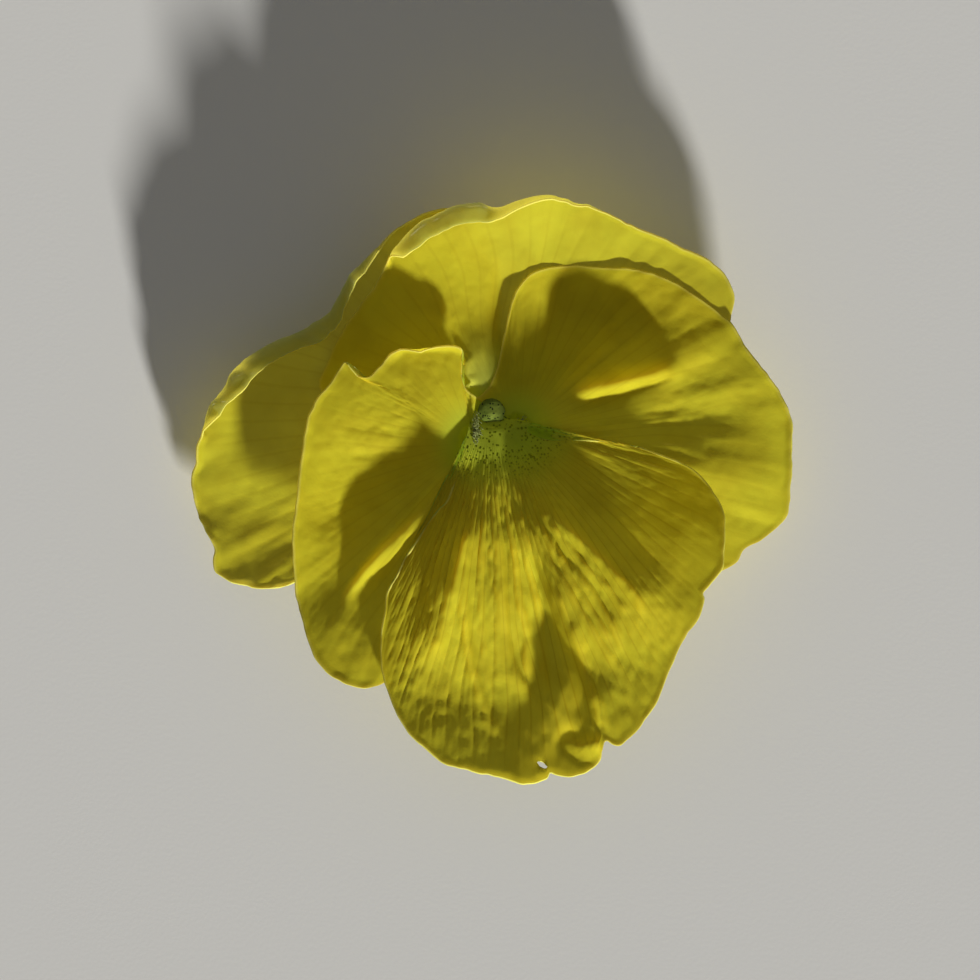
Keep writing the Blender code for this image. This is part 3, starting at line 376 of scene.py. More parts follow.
UPPER_LEFT = Petal(
    name="petal_upper_left",
    texture=Texture(veins=40, vein_height=0.07, pucker=0.04, streak=0.3, frill=0.2, seed=100),
    root=((-2.2, 6.6), (-1.1, 8.0)),
    root_height=4.6,
    margin=[
        (-3.6, 4.1), (-6.2, 0.4), (-9.2, -3.1), (-14.2, -7.1), (-17.2, -8.6), (-19.5, -9.3), (-21.2, -9.9),
        (-23.2, -10.0), (-25.2, -9.6), (-26.4, -9.3), (-27.6, -8.4), (-28.0, -7.1), (-27.9, -6.1),
        (-28.7, -4.4), (-29.6, -2.1), (-30.1, 0.4), (-29.7, 2.9), (-29.2, 5.2), (-28.4, 7.9), (-27.2, 9.6),
        (-26.0, 11.4), (-25.2, 12.4), (-23.2, 13.9), (-21.2, 14.9), (-19.2, 15.7), (-17.7, 16.7),
        (-16.2, 17.7), (-15.4, 19.4), (-14.4, 20.9), (-13.2, 22.4), (-11.2, 24.4), (-9.2, 26.1),
        (-7.7, 27.1), (-6.2, 27.7), (-3.7, 28.1), (-2.0, 27.5), (-0.7, 24.9), (0.0, 19.9), (-0.1, 14.4),
        (-0.4, 11.4)],
    heights=[
        (-3.0, 6.4, 4.9), (-1.7, 8.9, 4.9), (-3.7, 3.9, 4.4), (-7.2, -0.6, 3.8), (-11.2, -4.6, 3.2),
        (-14.2, -7.1, 3), (-19.5, -9.3, 3.3), (-23.2, -9.9, 3.4), (-26.4, -9.2, 3.5), (-27.9, -7.1, 3.2),
        (-28.7, -4.4, 3.3), (-29.6, -2.1, 3.5), (-29.9, 0.9, 3.9), (-29.2, 5.2, 4.6), (-27.2, 9.4, 5.2),
        (-24.2, 12.9, 5.4), (-19.2, 15.4, 5.5), (-16.2, 17.7, 6), (-13.2, 22.1, 7), (-9.2, 25.7, 8.2),
        (-6.2, 27.3, 8.8), (-3.7, 27.7, 8.7), (-1.2, 24.9, 7.8), (-0.2, 18.9, 5.6), (-0.4, 13.9, 4.8),
        (-25.2, 5.9, 3.9), (-21.2, 8.9, 3.9), (-19.2, 12.9, 4.5), (-22.2, 1.9, 3.2), (-19.2, -1.1, 2.7),
        (-15.2, 1.9, 2.6), (-25.2, 0.9, 3.3), (-24.2, -3.1, 2.7), (-21.2, -6.1, 2.8), (-14.2, 8.9, 3.9),
        (-9.2, 5.9, 3.6), (-5.2, 5.9, 4.1), (-14.2, 15.9, 4.8), (-9.2, 18.9, 5.7), (-5.2, 22.9, 7.2),
        (-4.2, 15.9, 5.3), (-3.2, 10.9, 4.7)],
    rolls=[
        (-6.2, 0.4, 0, 1), (-23.2, -10.0, 15, 1), (-27.9, -6.1, 15, 1), (-30.1, 0.4, 20, 1),
        (-29.2, 5.2, 60, 1.5), (-28.6, 7.4, 140, 2.6), (-26.0, 11.4, 150, 3.8), (-19.2, 15.7, 150, 3.8),
        (-17.4, 16.9, 145, 3), (-15.7, 18.9, 130, 2), (-13.2, 22.4, 120, 1.8), (-10.7, 24.9, 80, 1.4),
        (-7.7, 27.1, 60, 1.4), (-3.7, 28.1, 30, 1), (-0.2, 19.9, 0, 1)],
)

UPPER_RIGHT = Petal(
    name="petal_upper_right",
    texture=Texture(veins=40, vein_height=0.05, pucker=0.04, streak=0.14, frill=0.14, seed=200),
    root=((-0.2, 8.2), (1.6, 8.1)),
    root_height=4.8,
    margin=[
        (-3.6, 8.7), (-6.2, 7.5), (-9.2, 6.5), (-12.7, 6.5), (-15.7, 8.1), (-17.4, 10.4), (-16.7, 12.4),
        (-15.2, 15.4), (-13.5, 17.9), (-11.7, 20.4), (-10.4, 22.7), (-9.6, 24.1), (-8.4, 25.3),
        (-6.8, 26.7), (-5.2, 27.5), (-3.7, 28.0), (-2.2, 28.3), (-1.2, 28.4), (-0.2, 28.1), (0.8, 28.1),
        (2.3, 28.6), (4.8, 29.1), (6.3, 29.1), (8.8, 28.4), (10.8, 27.7), (14.8, 25.9), (18.8, 24.2),
        (22.5, 22.1), (23.8, 20.4), (24.3, 19.2), (24.1, 17.9), (23.7, 16.4), (22.3, 14.2), (19.8, 12.1),
        (13.8, 9.7), (8.8, 8.7), (5.3, 8.1)],
    heights=[
        (-1.0, 10.1, 8.0), (0.5, 10.6, 7.2), (0.7, 14.2, 6.6), (1.0, 16.8, 6.1), (-1.2, 13.9, 8.1),
        (-4.2, 18.9, 8.4), (-5.2, 14.9, 7.3),
        (0.8, 18.9, 6.7), (0.8, 24.6, 8.9), (0.8, 27.4, 11), (-4.2, 25.9, 10.7), (-8.2, 23.9, 10),
        (-10.4, 22.7, 9.2), (-13.5, 17.9, 7.2), (-16.7, 12.4, 5.3), (-17.4, 10.4, 5), (-13.2, 6.4, 4.6),
        (-9.2, 6.4, 4.8), (-5.2, 7.9, 5.4), (-2.7, 9.1, 6.3), (-9.2, 15.9, 7.1), (-11.2, 10.9, 5.3),
        (6.3, 28.1, 10.2), (10.8, 26.4, 9), (14.8, 24.9, 8.8), (18.8, 23.4, 8.5), (22.5, 21.4, 8.0),
        (24.1, 18.9, 7.5), (22.6, 14.4, 5.6), (19.8, 12.1, 4.2), (13.8, 9.9, 4), (8.8, 8.7, 4.3),
        (4.8, 8.4, 4.8), (7.8, 15.9, 4.3), (10.8, 18.9, 5.1), (15.8, 18.9, 6.5), (10.8, 22.2, 6.6),
        (15.8, 22.2, 7.7), (6.8, 24.9, 7.7), (6.8, 21.9, 6.4), (4.8, 12.9, 4.6), (3.8, 18.9, 5),
        (14.8, 14.9, 4.6), (20.8, 17.9, 7.2),
        (8.3, 24.0, 7.5), (12.3, 23.8, 7.8), (16.8, 22.9, 8.1), (20.4, 21.2, 8.0), (3.8, 21.4, 6.6)],
    folds=[
        Fold([(-2.6, 13.9), (-2.6, 11.4), (-1.8, 9.9)], 0.6, 0.6, 0.6),
        Fold([(0.6, 14.4), (0.4, 11.9), (0.0, 10.1)], 0.1, 0.6, 0.6),
        Fold([(0.6, 13.0), (0.9, 17.0), (1.0, 20.5), (1.3, 24.0)], -0.7, 0.8, 1.4),
    ],
    rolls=[
        (-4.2, 8.5, 0, 1), (-17.4, 10.4, 0, 1), (-13.5, 17.9, 10, 1), (-10.6, 22.3, 20, 1.2),
        (-9.6, 24.1, 130, 2.4), (-8.0, 25.7, 150, 2.8), (-5.2, 27.5, 150, 2.6), (-1.2, 28.4, 150, 2.6),
        (0.4, 28.1, 120, 2), (6.3, 29.1, 80, 1.3), (14.8, 25.9, 50, 1.3), (22.5, 22.1, 35, 1),
        (24.1, 18.4, 15, 1), (19.8, 12.1, 0, 1)],
)

SIDE_LEFT = Petal(
    name="petal_side_left",
    texture=Texture(veins=36, vein_height=0.06, pucker=0.05, streak=0.16, frill=0.12, seed=300),
    root=((-2.1, 5.1), (-1.7, 3.6)),
    root_height=4.8,
    margin=[
        (-1.6, 9.3), (-2.6, 10.1), (-3.0, 11.3), (-3.1, 12.7), (-3.0, 13.9), (-3.7, 14.3), (-5.2, 14.2),
        (-7.2, 13.9), (-9.2, 13.9), (-10.0, 13.5), (-11.2, 12.3), (-12.4, 11.2), (-13.4, 11.3),
        (-14.1, 12.0), (-14.7, 12.7), (-15.3, 12.0), (-16.2, 10.5), (-17.4, 9.2), (-18.2, 7.4),
        (-18.8, 4.9), (-19.2, 1.9), (-19.5, -1.1), (-19.9, -5.1), (-19.8, -8.1), (-19.4, -11.1),
        (-18.7, -14.1), (-17.4, -17.3), (-16.2, -18.6), (-14.7, -19.4), (-12.9, -19.9), (-11.0, -19.5),
        (-8.7, -17.6), (-6.7, -15.1), (-4.7, -11.1), (-3.5, -7.1), (-2.7, -3.1), (-2.2, -0.3)],
    heights=[
        (-2.2, 5.9, 7.6), (-1.8, 8.7, 8.6), (-3.0, 12.4, 9.5), (-3.7, 14.2, 9.9), (-7.2, 13.9, 10),
        (-9.7, 13.7, 9.9), (-13.5, 10.9, 9.9), (-14.7, 12.9, 10.1), (-17.2, 9.4, 10.1), (-18.9, 4.4, 9.8),
        (-19.5, -1.1, 9.4), (-19.9, -5.6, 9.1), (-19.4, -11.1, 8.4), (-17.4, -17.3, 8.9),
        (-14.7, -19.4, 8.9), (-12.9, -19.9, 8.7), (-11.0, -19.5, 8.2), (-8.7, -17.1, 8.3), (-6.2, -12.1, 8.5),
        (-4.2, -8.1, 8.4), (-2.7, -2.1, 8.1), (-2.2, 1.9, 7.2), (-9.2, 0.9, 6.9), (-12.2, -2.1, 6.7),
        (-14.2, -5.1, 7), (-10.7, 3.9, 7.8), (-9.2, 8.9, 9.3), (-5.2, 8.9, 9.1), (-5.2, 4.4, 8),
        (-14.2, 6.9, 9.3), (-16.2, 3.9, 9), (-17.2, -1.1, 8), (-16.7, -7.1, 7.8), (-15.2, -13.1, 8.8),
        (-12.2, -11.1, 7.2), (-10.7, -6.6, 7.9), (-7.2, -4.1, 8.3), (-13.2, -16.6, 8.8),
        (-10.2, -15.1, 8.4)],
    folds=[
        Fold(
            [(-3.4, 3.2), (-4.8, 0.7), (-6.8, -2.1), (-9.5, -4.8), (-12.6, -8.1), (-15.2, -11.8)],
            1.6, 1.2, 0.6, 0.3,
        ),
        Fold([(-9.7, -4.1), (-12.0, -7.3), (-14.2, -10.1), (-15.4, -13.1)], 0.4, 0.5, 0.5),
    ],
    rolls=[
        (-1.8, 6.9, 0, 1), (-3.0, 12.9, 10, 1), (-4.2, 14.3, 60, 1.5), (-7.2, 13.9, 100, 2),
        (-9.2, 13.9, 80, 1.6), (-10.7, 12.7, 10, 1), (-14.7, 12.9, 10, 1), (-18.2, 7.4, 20, 1),
        (-19.9, -5.1, 30, 1), (-12.9, -19.9, 15, 1), (-11.0, -19.5, 0, 1)],
)

SIDE_RIGHT = Petal(
    name="petal_side_right",
    texture=Texture(veins=40, vein_height=0.06, pucker=0.04, streak=0.24, frill=0.12, seed=400),
    root=((2.7, 6.4), (2.9, 4.6)),
    root_height=4.8,
    margin=[
        (-1.9, 9.2), (-1.3, 9.4), (-0.7, 9.9), (0.1, 11.1), (0.7, 13.0), (1.3, 15.9), (2.1, 18.9),
        (2.8, 20.4), (3.8, 21.4),
        (5.3, 22.1), (7.3, 22.4), (10.8, 22.2), (14.8, 21.9), (17.8, 20.9), (20.8, 19.1), (23.0, 17.4),
        (23.8, 16.7), (25.3, 14.4), (26.8, 12.4), (28.3, 10.4), (29.3, 8.9), (30.0, 6.9), (30.1, 3.9),
        (30.0, 0.9), (29.6, -2.6), (28.8, -3.6), (27.0, -5.1), (25.3, -6.1), (24.6, -7.4), (22.8, -8.3),
        (19.8, -9.1), (15.8, -8.1), (10.8, -4.1), (5.8, 0.9)],
    heights=[
        (1.6, 8.9, 7.8), (0.5, 10.1, 7.8), (1.1, 14.4, 7.1), (2.1, 18.9, 7.0), (3.8, 21.3, 7.1),
        (5.3, 22.1, 7), (7.3, 22.4, 6.9), (10.8, 22.2, 7.1), (14.8, 21.9, 7.7), (17.8, 20.9, 7.75),
        (20.8, 19.1, 7.65), (23.0, 17.4, 7.2), (6.8, 15.9, 5.5), (10.8, 15.9, 5.6), (14.8, 14.9, 6.5),
        (6.8, 11.9, 6.3), (3.8, 10.9, 6.9), (2.3, 9.4, 7.3), (9.8, 18.9, 6), (5.8, 18.9, 6),
        (7.6, 8.0, 7.5), (10.8, 8.4, 7.2), (13.8, 9.0, 7.3), (16.8, 9.6, 7.2), (19.8, 10.3, 7),
        (22.8, 11.9, 7.3), (18.8, 15.4, 7.5), (25.8, 13.9, 7.3), (15.8, 8.1, 6.9), (20.8, 8.7, 6.4),
        (24.8, 8.4, 6.4), (27.3, 10.9, 7.4), (29.3, 8.9, 6.9), (30.1, 3.9, 6.2), (30.0, 0.9, 5.8),
        (29.6, -2.4, 5), (27.0, -5.1, 4.6), (25.3, -6.1, 4.7), (22.8, -8.3, 4.9), (19.8, -9.1, 5.4),
        (15.8, -8.1, 6.2), (10.8, -4.1, 6.6), (5.8, 0.9, 6.6), (20.8, 2.9, 7.7), (23.8, 0.9, 7.0),
        (22.8, -3.1, 5.9), (26.8, 2.9, 6.4), (14.8, 1.9, 8.1), (10.8, 5.4, 8.2), (6.8, 5.7, 8.4),
        (4.1, 5.9, 7.8),
        (9.5, 10.0, 8.5), (13.0, 10.7, 8.9), (16.6, 11.9, 8.4), (19.4, 12.2, 7.4)],
    folds=[
        Fold([(7.4, 8.8), (9.5, 9.8), (13.0, 10.6), (16.8, 11.5), (19.6, 11.8)], 1.3, 1.2, 0.7),
        Fold([(3.8, 6.1), (5.6, 6.3), (8.0, 6.2), (11.4, 6.0)], 0.7, 0.9, 1.0, 0.2),
    ],
    rolls=[
        (0.2, 10.1, 0, 1), (2.1, 18.9, 15, 1), (5.3, 22.1, 10, 1), (6.8, 22.3, 0, 1), (20.8, 19.1, 0, 1),
        (24.3, 15.9, 20, 1), (28.3, 10.4, 20, 1), (30.1, 3.9, 25, 1), (29.6, -2.6, 10, 1),
        (22.8, -8.3, 0, 1)],
)

LOWER = Petal(
    name="petal_lower",
    texture=Texture(
        veins=64, vein_height=0.24, pucker=0.12, streak=0.12, frill=0.14, seed=500,
        crisp=[(0.0, 0.25), (0.2, 0.3), (0.25, 1.0), (0.64, 1.0), (0.7, 0.25), (1.0, 0.25)],
    ),
    root=((-1.9, 7.6), (2.6, 6.9)),
    root_height=8.2,
    margin=[
        (-3.1, 3.0), (-3.6, 1.3), (-4.0, -0.1), (-4.5, -1.3), (-5.4, -2.3), (-6.2, -3.3), (-7.7, -5.6),
        (-8.7, -7.1), (-9.7, -9.1), (-10.5, -10.5), (-10.7, -12.1), (-11.0, -14.1), (-11.1, -16.6),
        (-10.9, -18.6), (-10.0, -21.3), (-9.2, -22.9), (-8.2, -24.4), (-6.7, -25.9), (-5.2, -27.1),
        (-3.7, -27.7), (-2.2, -28.1), (0.8, -28.8), (2.8, -29.4), (3.8, -29.5), (4.8, -29.3), (5.5, -28.9),
        (5.8, -28.3), (6.5, -28.6), (7.8, -28.8), (9.8, -28.0), (10.8, -26.9), (11.0, -25.9), (11.4, -25.1),
        (12.1, -25.5), (12.8, -25.6), (14.0, -24.6), (15.6, -22.6), (16.8, -20.4), (18.0, -17.6),
        (18.8, -15.6), (20.5, -13.1), (21.2, -11.1), (21.0, -10.4), (21.8, -9.5), (22.8, -8.3),
        (23.1, -6.1), (23.2, -3.1), (22.8, -1.6), (21.3, 0.7), (19.8, 2.1), (16.8, 3.4), (14.8, 4.1),
        (10.8, 4.7), (7.8, 4.8), (5.3, 4.9), (3.8, 5.6), (2.8, 6.2)],
    heights=[
        (0.3, 4.0, 9.0), (0.3, 6.6, 8.6), (-1.9, 5.6, 8.6), (2.4, 6.0, 8.7), (-0.2, 1.3, 9.3),
        (1.8, 1.5, 9.3), (-1.7, 2.1, 8.4), (2.8, 4.4, 8.2), (-3.2, 2.9, 8.8),
        (-3.9, -0.1, 9.2), (-6.2, -3.3, 9.3), (-8.7, -7.1, 9.3), (-10.5, -10.5, 9.1), (-11.0, -14.1, 9.2),
        (-10.9, -17.9, 9.5), (-9.2, -22.9, 10), (-6.7, -25.9, 9.9), (-3.7, -27.7, 9.6), (0.8, -28.8, 8.9),
        (3.8, -29.5, 8.6), (7.3, -28.8, 7.8), (10.8, -26.9, 9.2), (14.0, -24.6, 9.5), (16.8, -20.4, 10.2),
        (18.8, -15.6, 10.7), (21.2, -11.1, 12.1), (22.8, -8.3, 12.2), (23.2, -5.1, 11.9), (22.8, -1.6, 11.2),
        (19.8, 2.1, 10.4), (16.8, 3.4, 10), (14.8, 4.1, 9.7), (10.8, 4.7, 9.3), (7.8, 4.8, 9.3),
        (5.3, 4.9, 9.2), (3.0, 6.1, 8.8), (-1.0, -0.3, 9.3), (-2.9, -5.1, 10.9), (-4.3, -10.1, 10.8),
        (-6.0, -15.1, 9.8), (-8.7, -17.9, 9.2), (-5.2, -5.1, 9.8), (-7.7, -11.1, 9.4), (-9.2, -15.1, 9.2),
        (0.8, -3.1, 9.1), (-0.2, -7.1, 9.2), (-0.2, -11.1, 8.9), (-1.2, -15.1, 8.4), (-1.2, -20.1, 7.3),
        (-4.2, -20.1, 8.2), (-6.2, -21.1, 8.7), (0.8, -25.1, 7.7), (-3.2, -24.6, 8.9), (1.1, -13.1, 8.1),
        (1.5, -16.1, 7), (2.8, -18.6, 6.2), (4.8, -21.7, 4.9), (6.8, -23.3, 5.3), (8.5, -24.8, 7.4),
        (3.8, -7.1, 9.7), (5.3, -7.1, 10.6), (6.8, -11.1, 10.5), (8.3, -14.6, 10.2), (10.0, -21.1, 9.4),
        (10.8, -24.6, 9.6), (3.8, -0.6, 10.1), (6.8, -3.4, 11.6), (9.8, -5.9, 11.8), (12.3, -8.4, 12.5),
        (14.8, -11.1, 12.6), (16.3, -13.6, 11.8), (10.8, -11.1, 11.3), (10.8, -16.1, 9.9),
        (13.0, -16.1, 10.2), (14.8, -20.1, 10), (12.8, -21.1, 9.5), (5.3, 1.1, 9.5), (8.6, -1.4, 10.2),
        (11.6, -3.7, 10.8), (14.8, -7.1, 11.4), (18.3, -10.3, 11.6), (10.8, 1.4, 9.7), (15.8, -1.1, 10.8),
        (18.8, -5.1, 11.9), (5.6, -17.6, 5),
        (7.6, -20.4, 5.4), (4.6, -14.5, 5.7), (3.5, -11.5, 7.9), (6.2, -15.6, 6.2),
        (4.2, -9.4, 8.6), (5.5, -12.4, 7.6)],
    folds=[
        Fold(
            [(-0.9, 0.1), (-2.0, -3.5), (-2.7, -7.8), (-2.8, -11.0), (-2.6, -14.2), (-2.3, -17.4),
             (-1.6, -19.3), (-0.4, -22.7), (1.6, -25.7), (2.9, -27.4)],
            0.55, 0.35, 0.9, 0.25,
        ),
        Fold(
            [(-0.4, -0.6), (-1.0, -4.5), (-1.2, -9.0), (-1.0, -14.0), (-0.6, -18.5), (0.8, -22.0)],
            0.25, 0.35, 0.3, 0.2,
        ),
        Fold(
            [(0.1, 0.4), (0.5, -4.2), (1.0, -9.9), (1.3, -14.1), (1.6, -16.3), (2.4, -18.4), (3.7, -20.6),
             (4.8, -21.6), (5.6, -22.1), (6.9, -23.8), (7.8, -24.8)],
            0.85, 0.4, 1.2, 0.24,
        ),
        Fold(
            [(1.4, -0.6), (2.0, -5.0), (2.5, -9.0), (2.9, -12.0), (3.5, -14.2), (3.5, -18.0), (3.7, -19.5),
             (4.6, -21.4)],
            0.5, 0.35, 0.4, 0.25,
        ),
        Fold(
            [(2.2, -0.6), (3.0, -4.5), (3.7, -7.8), (4.7, -12.0), (5.0, -16.3), (5.4, -21.4)],
            0.45, 0.35, 0.35, 0.15,
        ),
        Fold(
            [(2.7, -3.4), (4.6, -7.2), (5.9, -10.3), (7.1, -13.9), (8.6, -15.9), (9.9, -20.1), (10.6, -22.1),
             (11.4, -24.9)],
            0.7, 0.7, 0.5, 0.15,
        ),
        Fold(
            [(2.9, -2.4), (4.9, -5.6), (6.8, -8.8), (9.3, -12.9), (10.8, -15.4), (13.1, -18.5)],
            0.45, 0.35, 0.35, 0.15,
        ),
        Fold([(3.0, -1.6), (5.4, -5.2), (8.0, -9.4), (10.6, -13.2), (12.4, -16.4)], 0.4, 0.35, 0.3, 0.15),
        Fold([(3.2, -1.1), (6.2, -6.0), (9.3, -9.8), (11.9, -13.4), (13.4, -17.0)], 0.45, 0.4, 0.35, 0.15),
        Fold([(4.0, -1.1), (8.0, -6.5), (11.4, -9.8), (14.4, -13.4)], 0.4, 0.4, 0.35, 0.15),
        Fold(
            [(3.7, -0.3), (6.5, -3.1), (9.3, -5.6), (12.3, -8.4), (14.4, -10.8), (15.7, -13.3)],
            0.5, 0.5, 0.5, 0.15,
        ),
        Fold([(-2.4, -3.2), (-3.4, -7.5), (-4.5, -12.4), (-5.5, -15.4), (-6.5, -17.0)], 0.35, 0.5, 0.4, 0.15),
        Fold(
            [(0.8, -10.1), (1.2, -14.1), (2.1, -17.3), (4.1, -20.8), (5.8, -22.3), (7.2, -23.6)],
            -0.7, 0.7, 1.1,
        ),
        Fold([(6.2, -24.6), (7.6, -25.0), (8.9, -25.5), (10.2, -25.4), (11.6, -24.9)], 1.6, 0.8, 1.0),
        Fold([(4.8, -5.6), (6.4, -10.1), (8.0, -14.3), (9.6, -20.1), (10.6, -24.6)], 0.7, 1.0, 1.0),
        Fold([(3.2, -3.6), (5.0, -9.6), (6.6, -14.2), (7.9, -18.0), (8.7, -21.4)], -1.5, 0.9, 1.8),
        Fold([(-2.9, -7.1), (-2.5, -15.1), (-1.4, -19.6), (0.3, -24.1)], 0.4, 0.6, 0.5),
        Fold([(-0.8, 0.4), (-2.7, -4.9), (-4.2, -10.1), (-6.0, -14.9), (-8.9, -17.9)], 0.7, 1.6, 2.2),
        Fold(
            [(3.3, -0.1), (6.6, -3.2), (9.6, -5.7), (12.1, -8.2), (14.8, -11.1), (16.3, -13.6)],
            0.7, 2.2, 1.3,
        ),
    ],
    rolls=[
        (-3.2, 2.9, 0, 1.2), (-4.5, -1.3, 25, 1), (-10.7, -12.1, 15, 1), (-8.2, -24.4, 10, 1),
        (3.8, -29.5, 20, 1), (12.8, -25.6, 10, 1), (20.5, -13.1, 10, 1), (23.1, -5.1, 15, 1),
        (16.8, 3.4, 10, 1), (2.8, 6.2, 0, 1)],
)

PETALS = [UPPER_LEFT, UPPER_RIGHT, SIDE_LEFT, SIDE_RIGHT, LOWER]

# mesh rays, rows and roll rows of the finely ribbed lower petal
LOWER_GRID = (440, 98, 8)

# a torn hole near the lower petal's tip
TEAR_CENTRE = (5.0, -27.6)
TEAR_SIZE = (0.6, 0.28)
TEAR_TURN = math.radians(-30)

# the lower petal's spur: height, radius and shift away from the throat's axis
SPUR_DISTANCE = 4.0
SPUR_PROFILE = [
    (0.0, 0.85, 0.0), (0.45, 1.1, 0.0), (2.4, 1.2, 0.0), (4.4, 1.15, 0.05), (6.0, 0.9, 0.3), (8.2, 0.5, 0.75)
]
SPUR_RINGS = 28
# shallow waves along the spur and the stalk, as a share of the radius
SPUR_WAVE = 0.03
STALK_WAVE = 0.04
TUBE_SIDES = 10

RECEPTACLE_PROFILE = [(0.0, 1.9), (0.9, 2.0), (1.9, 2.6), (2.2, 3.4), (2.1, 4.1), (0.0, 4.2)]
RECEPTACLE_ROUNDING = 0.12
SEPAL_BASE_RADIUS = 1.5
SEPAL_BASE_HEIGHT = 3.1
SEPAL_DROOP = 1.25
SEPAL_KEEL = 0.12
SEPAL_THICKNESS = 0.5
# mesh rows across and along, and height of the middle rib
SEPAL_DETAIL = (25, 70, 0.05)
AURICLE_DETAIL = (13, 24, 0.03)
# a rib's width as a share of the half width, and the fine veins and waves beside it
RIB_WIDTH = 0.12
VEIN_SHARE = 0.4
LEAF_WAVE = 0.06
# angle round the throat, reach from its axis, height of the tip
SEPALS = [
    (LOWER_PETAL_ANGLE - 36, 12.0, 0.32),
    (LOWER_PETAL_ANGLE + 36, 12.0, 0.32),
    (LOWER_PETAL_ANGLE + 108, 12.0, 1.5),
    (LOWER_PETAL_ANGLE + 180, 11.0, 2.3),
    (LOWER_PETAL_ANGLE + 252, 11.0, 1.0),
]
SEPAL_WIDTHS = [(0.0, 0.75), (0.25, 0.8), (0.5, 1.65), (0.7, 1.5), (0.88, 0.85), (1.0, 0.12)]
AURICLE_WIDTHS = [(0.0, 0.7), (0.5, 0.75), (0.85, 0.6), (1.0, 0.25)]
AURICLE_REACH = 3.7
AURICLE_BASE_HEIGHT = 2.6
AURICLE_TIP_HEIGHT = 1.35
AURICLE_DROOP = 1.4
STALK_RADIUS = 0.9
STALK_PATH = [(0.3, 5.7, 2.7), (0.3, 6.2, 1.7), (0.25, 8.0, 1.0), (0.1, 11.8, 0.95), (0.0, 16.3, 0.95)]

# radius and height, from the bottom
OVARY_PROFILE = [(0.0, 4.5), (0.5, 4.5), (0.8, 5.1), (0.8, 5.6), (0.5, 6.1), (0.0, 6.3)]
STYLE_RADIUS = 0.35
STYLE_FOOT = (*THROAT, 5.4)
STYLE_BEND = (THROAT[0], THROAT[1] + 0.1, 6.6)
STIGMA_CENTRE = (-0.05, 7.8, 8.35)
# half-axes of the stigma head
STIGMA_SIZE = (1.35, 1.25, 0.3)
# the way its hollow faces, the hollow's depth and spread, and the lip round it, as shares and in radians
STIGMA_PIT = (0.15, -0.8, 0.6)
STIGMA_PIT_DEPTH = 0.2
STIGMA_PIT_SPREAD = 0.4
STIGMA_LIP = 0.1
STIGMA_LIP_ANGLE = 0.75
STIGMA_LIP_SPREAD = 0.22
STIGMA_BUMPS = 0.03
ANTHER_BOTTOM = 4.5
ANTHER_TOP = 6.35
ANTHER_DEPTH = 0.36
ANTHER_WIDTH = 0.78
ANTHER_FURROW = 0.12
CONE_MIDDLE = 1.46
CONE_PROFILE = [(1.18, 4.5), (1.74, 4.5), (1.64, 6.15), (1.18, 6.15)]

# petal, name, middle, spread and lean in millimetres, number of hairs, and height over the petal
BEARDS = [
    (SIDE_LEFT, "left_beard", (-1.75, 5.9), (0.17, 0.75), (0.5, -0.5), 200, 1.1),
    (SIDE_RIGHT, "right_beard", (3.1, 6.3), (0.3, 0.4), (-0.7, -0.3), 60, 0.0),
]
# a hair's shortest and longest length, its rise as a share of that, and its radii from foot to tip
HAIR_LENGTHS = (0.35, 0.85)
HAIR_RISE = 0.35
HAIR_WANDER = 0.18
HAIR_RADII = [0.035, 0.03, 0.05, 0.015]
# feet are set this deep in the petal
HAIR_ROOT = 0.1

# the camera's frame is 98 mm wide where it meets the petals, one metre below it
FRAME_WIDTH = 98.0
FOCUS_DISTANCE = 1000.0
CAMERA_PLACE = (-0.0002, -0.0001)
SENSOR_WIDTH = 36.0
FLOOR_WIDTH = 4.0


# Colours and finishes

# sRGB colours of the petals' tissue: the face's, those of light that has passed it, and the backs'. The vein
# colours darken the relief's grooves, so they are vein colour and painted groove shade together
FACE = {
    "through_deep": "#f6d450", "vein_and_groove_shade": "#cabb28", "vein_through": "#dcae2a", "claw": "#d6e646",
    "claw_through": "#e6ea3c",
}
# the upper right petal's claw is paler: partly its own pale green, partly painted light that brightens it
# where the lower petal's ridge shades it
UPPER_RIGHT_CLAW_WITH_PAINTED_LIGHT = "#dde262"
GREY_BACK = {
    "deep": "#c0cc8a", "vein_and_groove_shade": "#aab870", "through": "#ecfae2", "through_deep": "#e6f5da",
    "vein_through": "#dfe9b8", "claw_through": "#eaffd0",
}
YELLOW_BACK = {
    "face": "#d6d640", "deep": "#cfca3a", "vein_and_groove_shade": "#bfb22c", "through": "#ecfaa0", "through_deep": "#e6f598",
    "vein_through": "#dfe98c", "claw_through": "#eafc9c",
}
RIM_THROUGH = "#fff07e"
SPECKS = "#1d2408"
GREEN_SPECKS = "#20280f"


def hex_colour(code):
    """An sRGB hex colour as the linear red, green and blue that shaders use."""
    parts = [int(code[i : i + 2], 16) / 255 for i in (1, 3, 5)]
    return tuple(c / 12.92 if c <= 0.04045 else ((c + 0.055) / 1.055) ** 2.4 for c in parts)


def add_node(tree, kind, inputs=None, output=0, **settings):
    """Adds a node with its settings; each input is a value, or the socket that feeds it. Gives one output."""
    made = tree.nodes.new(kind)
    for name, value in settings.items():
        setattr(made, name, value)
    for socket, given in (inputs or {}).items():
        if isinstance(given, bpy.types.NodeSocket):
            tree.links.new(given, made.inputs[socket])
        else:
            made.inputs[socket].default_value = given
    return made.outputs[output] if len(made.outputs) else None


# the node kinds in use, and how a colour mix and a soft step are set
MIX = "ShaderNodeMix"
STEP = "ShaderNodeMapRange"
NOISE = "ShaderNodeTexNoise"
MATH = "ShaderNodeMath"
COLOURS = {"data_type": "RGBA", "output": 2}
SMOOTH = {"interpolation_type": "SMOOTHSTEP"}


def new_material(name):
    """An empty material, with the place of each point on the piece."""
    material = bpy.data.materials.new(name)
    material.use_nodes = True
    tree = material.node_tree
    tree.nodes.clear()
    return material, tree, add_node(tree, "ShaderNodeTexCoord", output="Object")


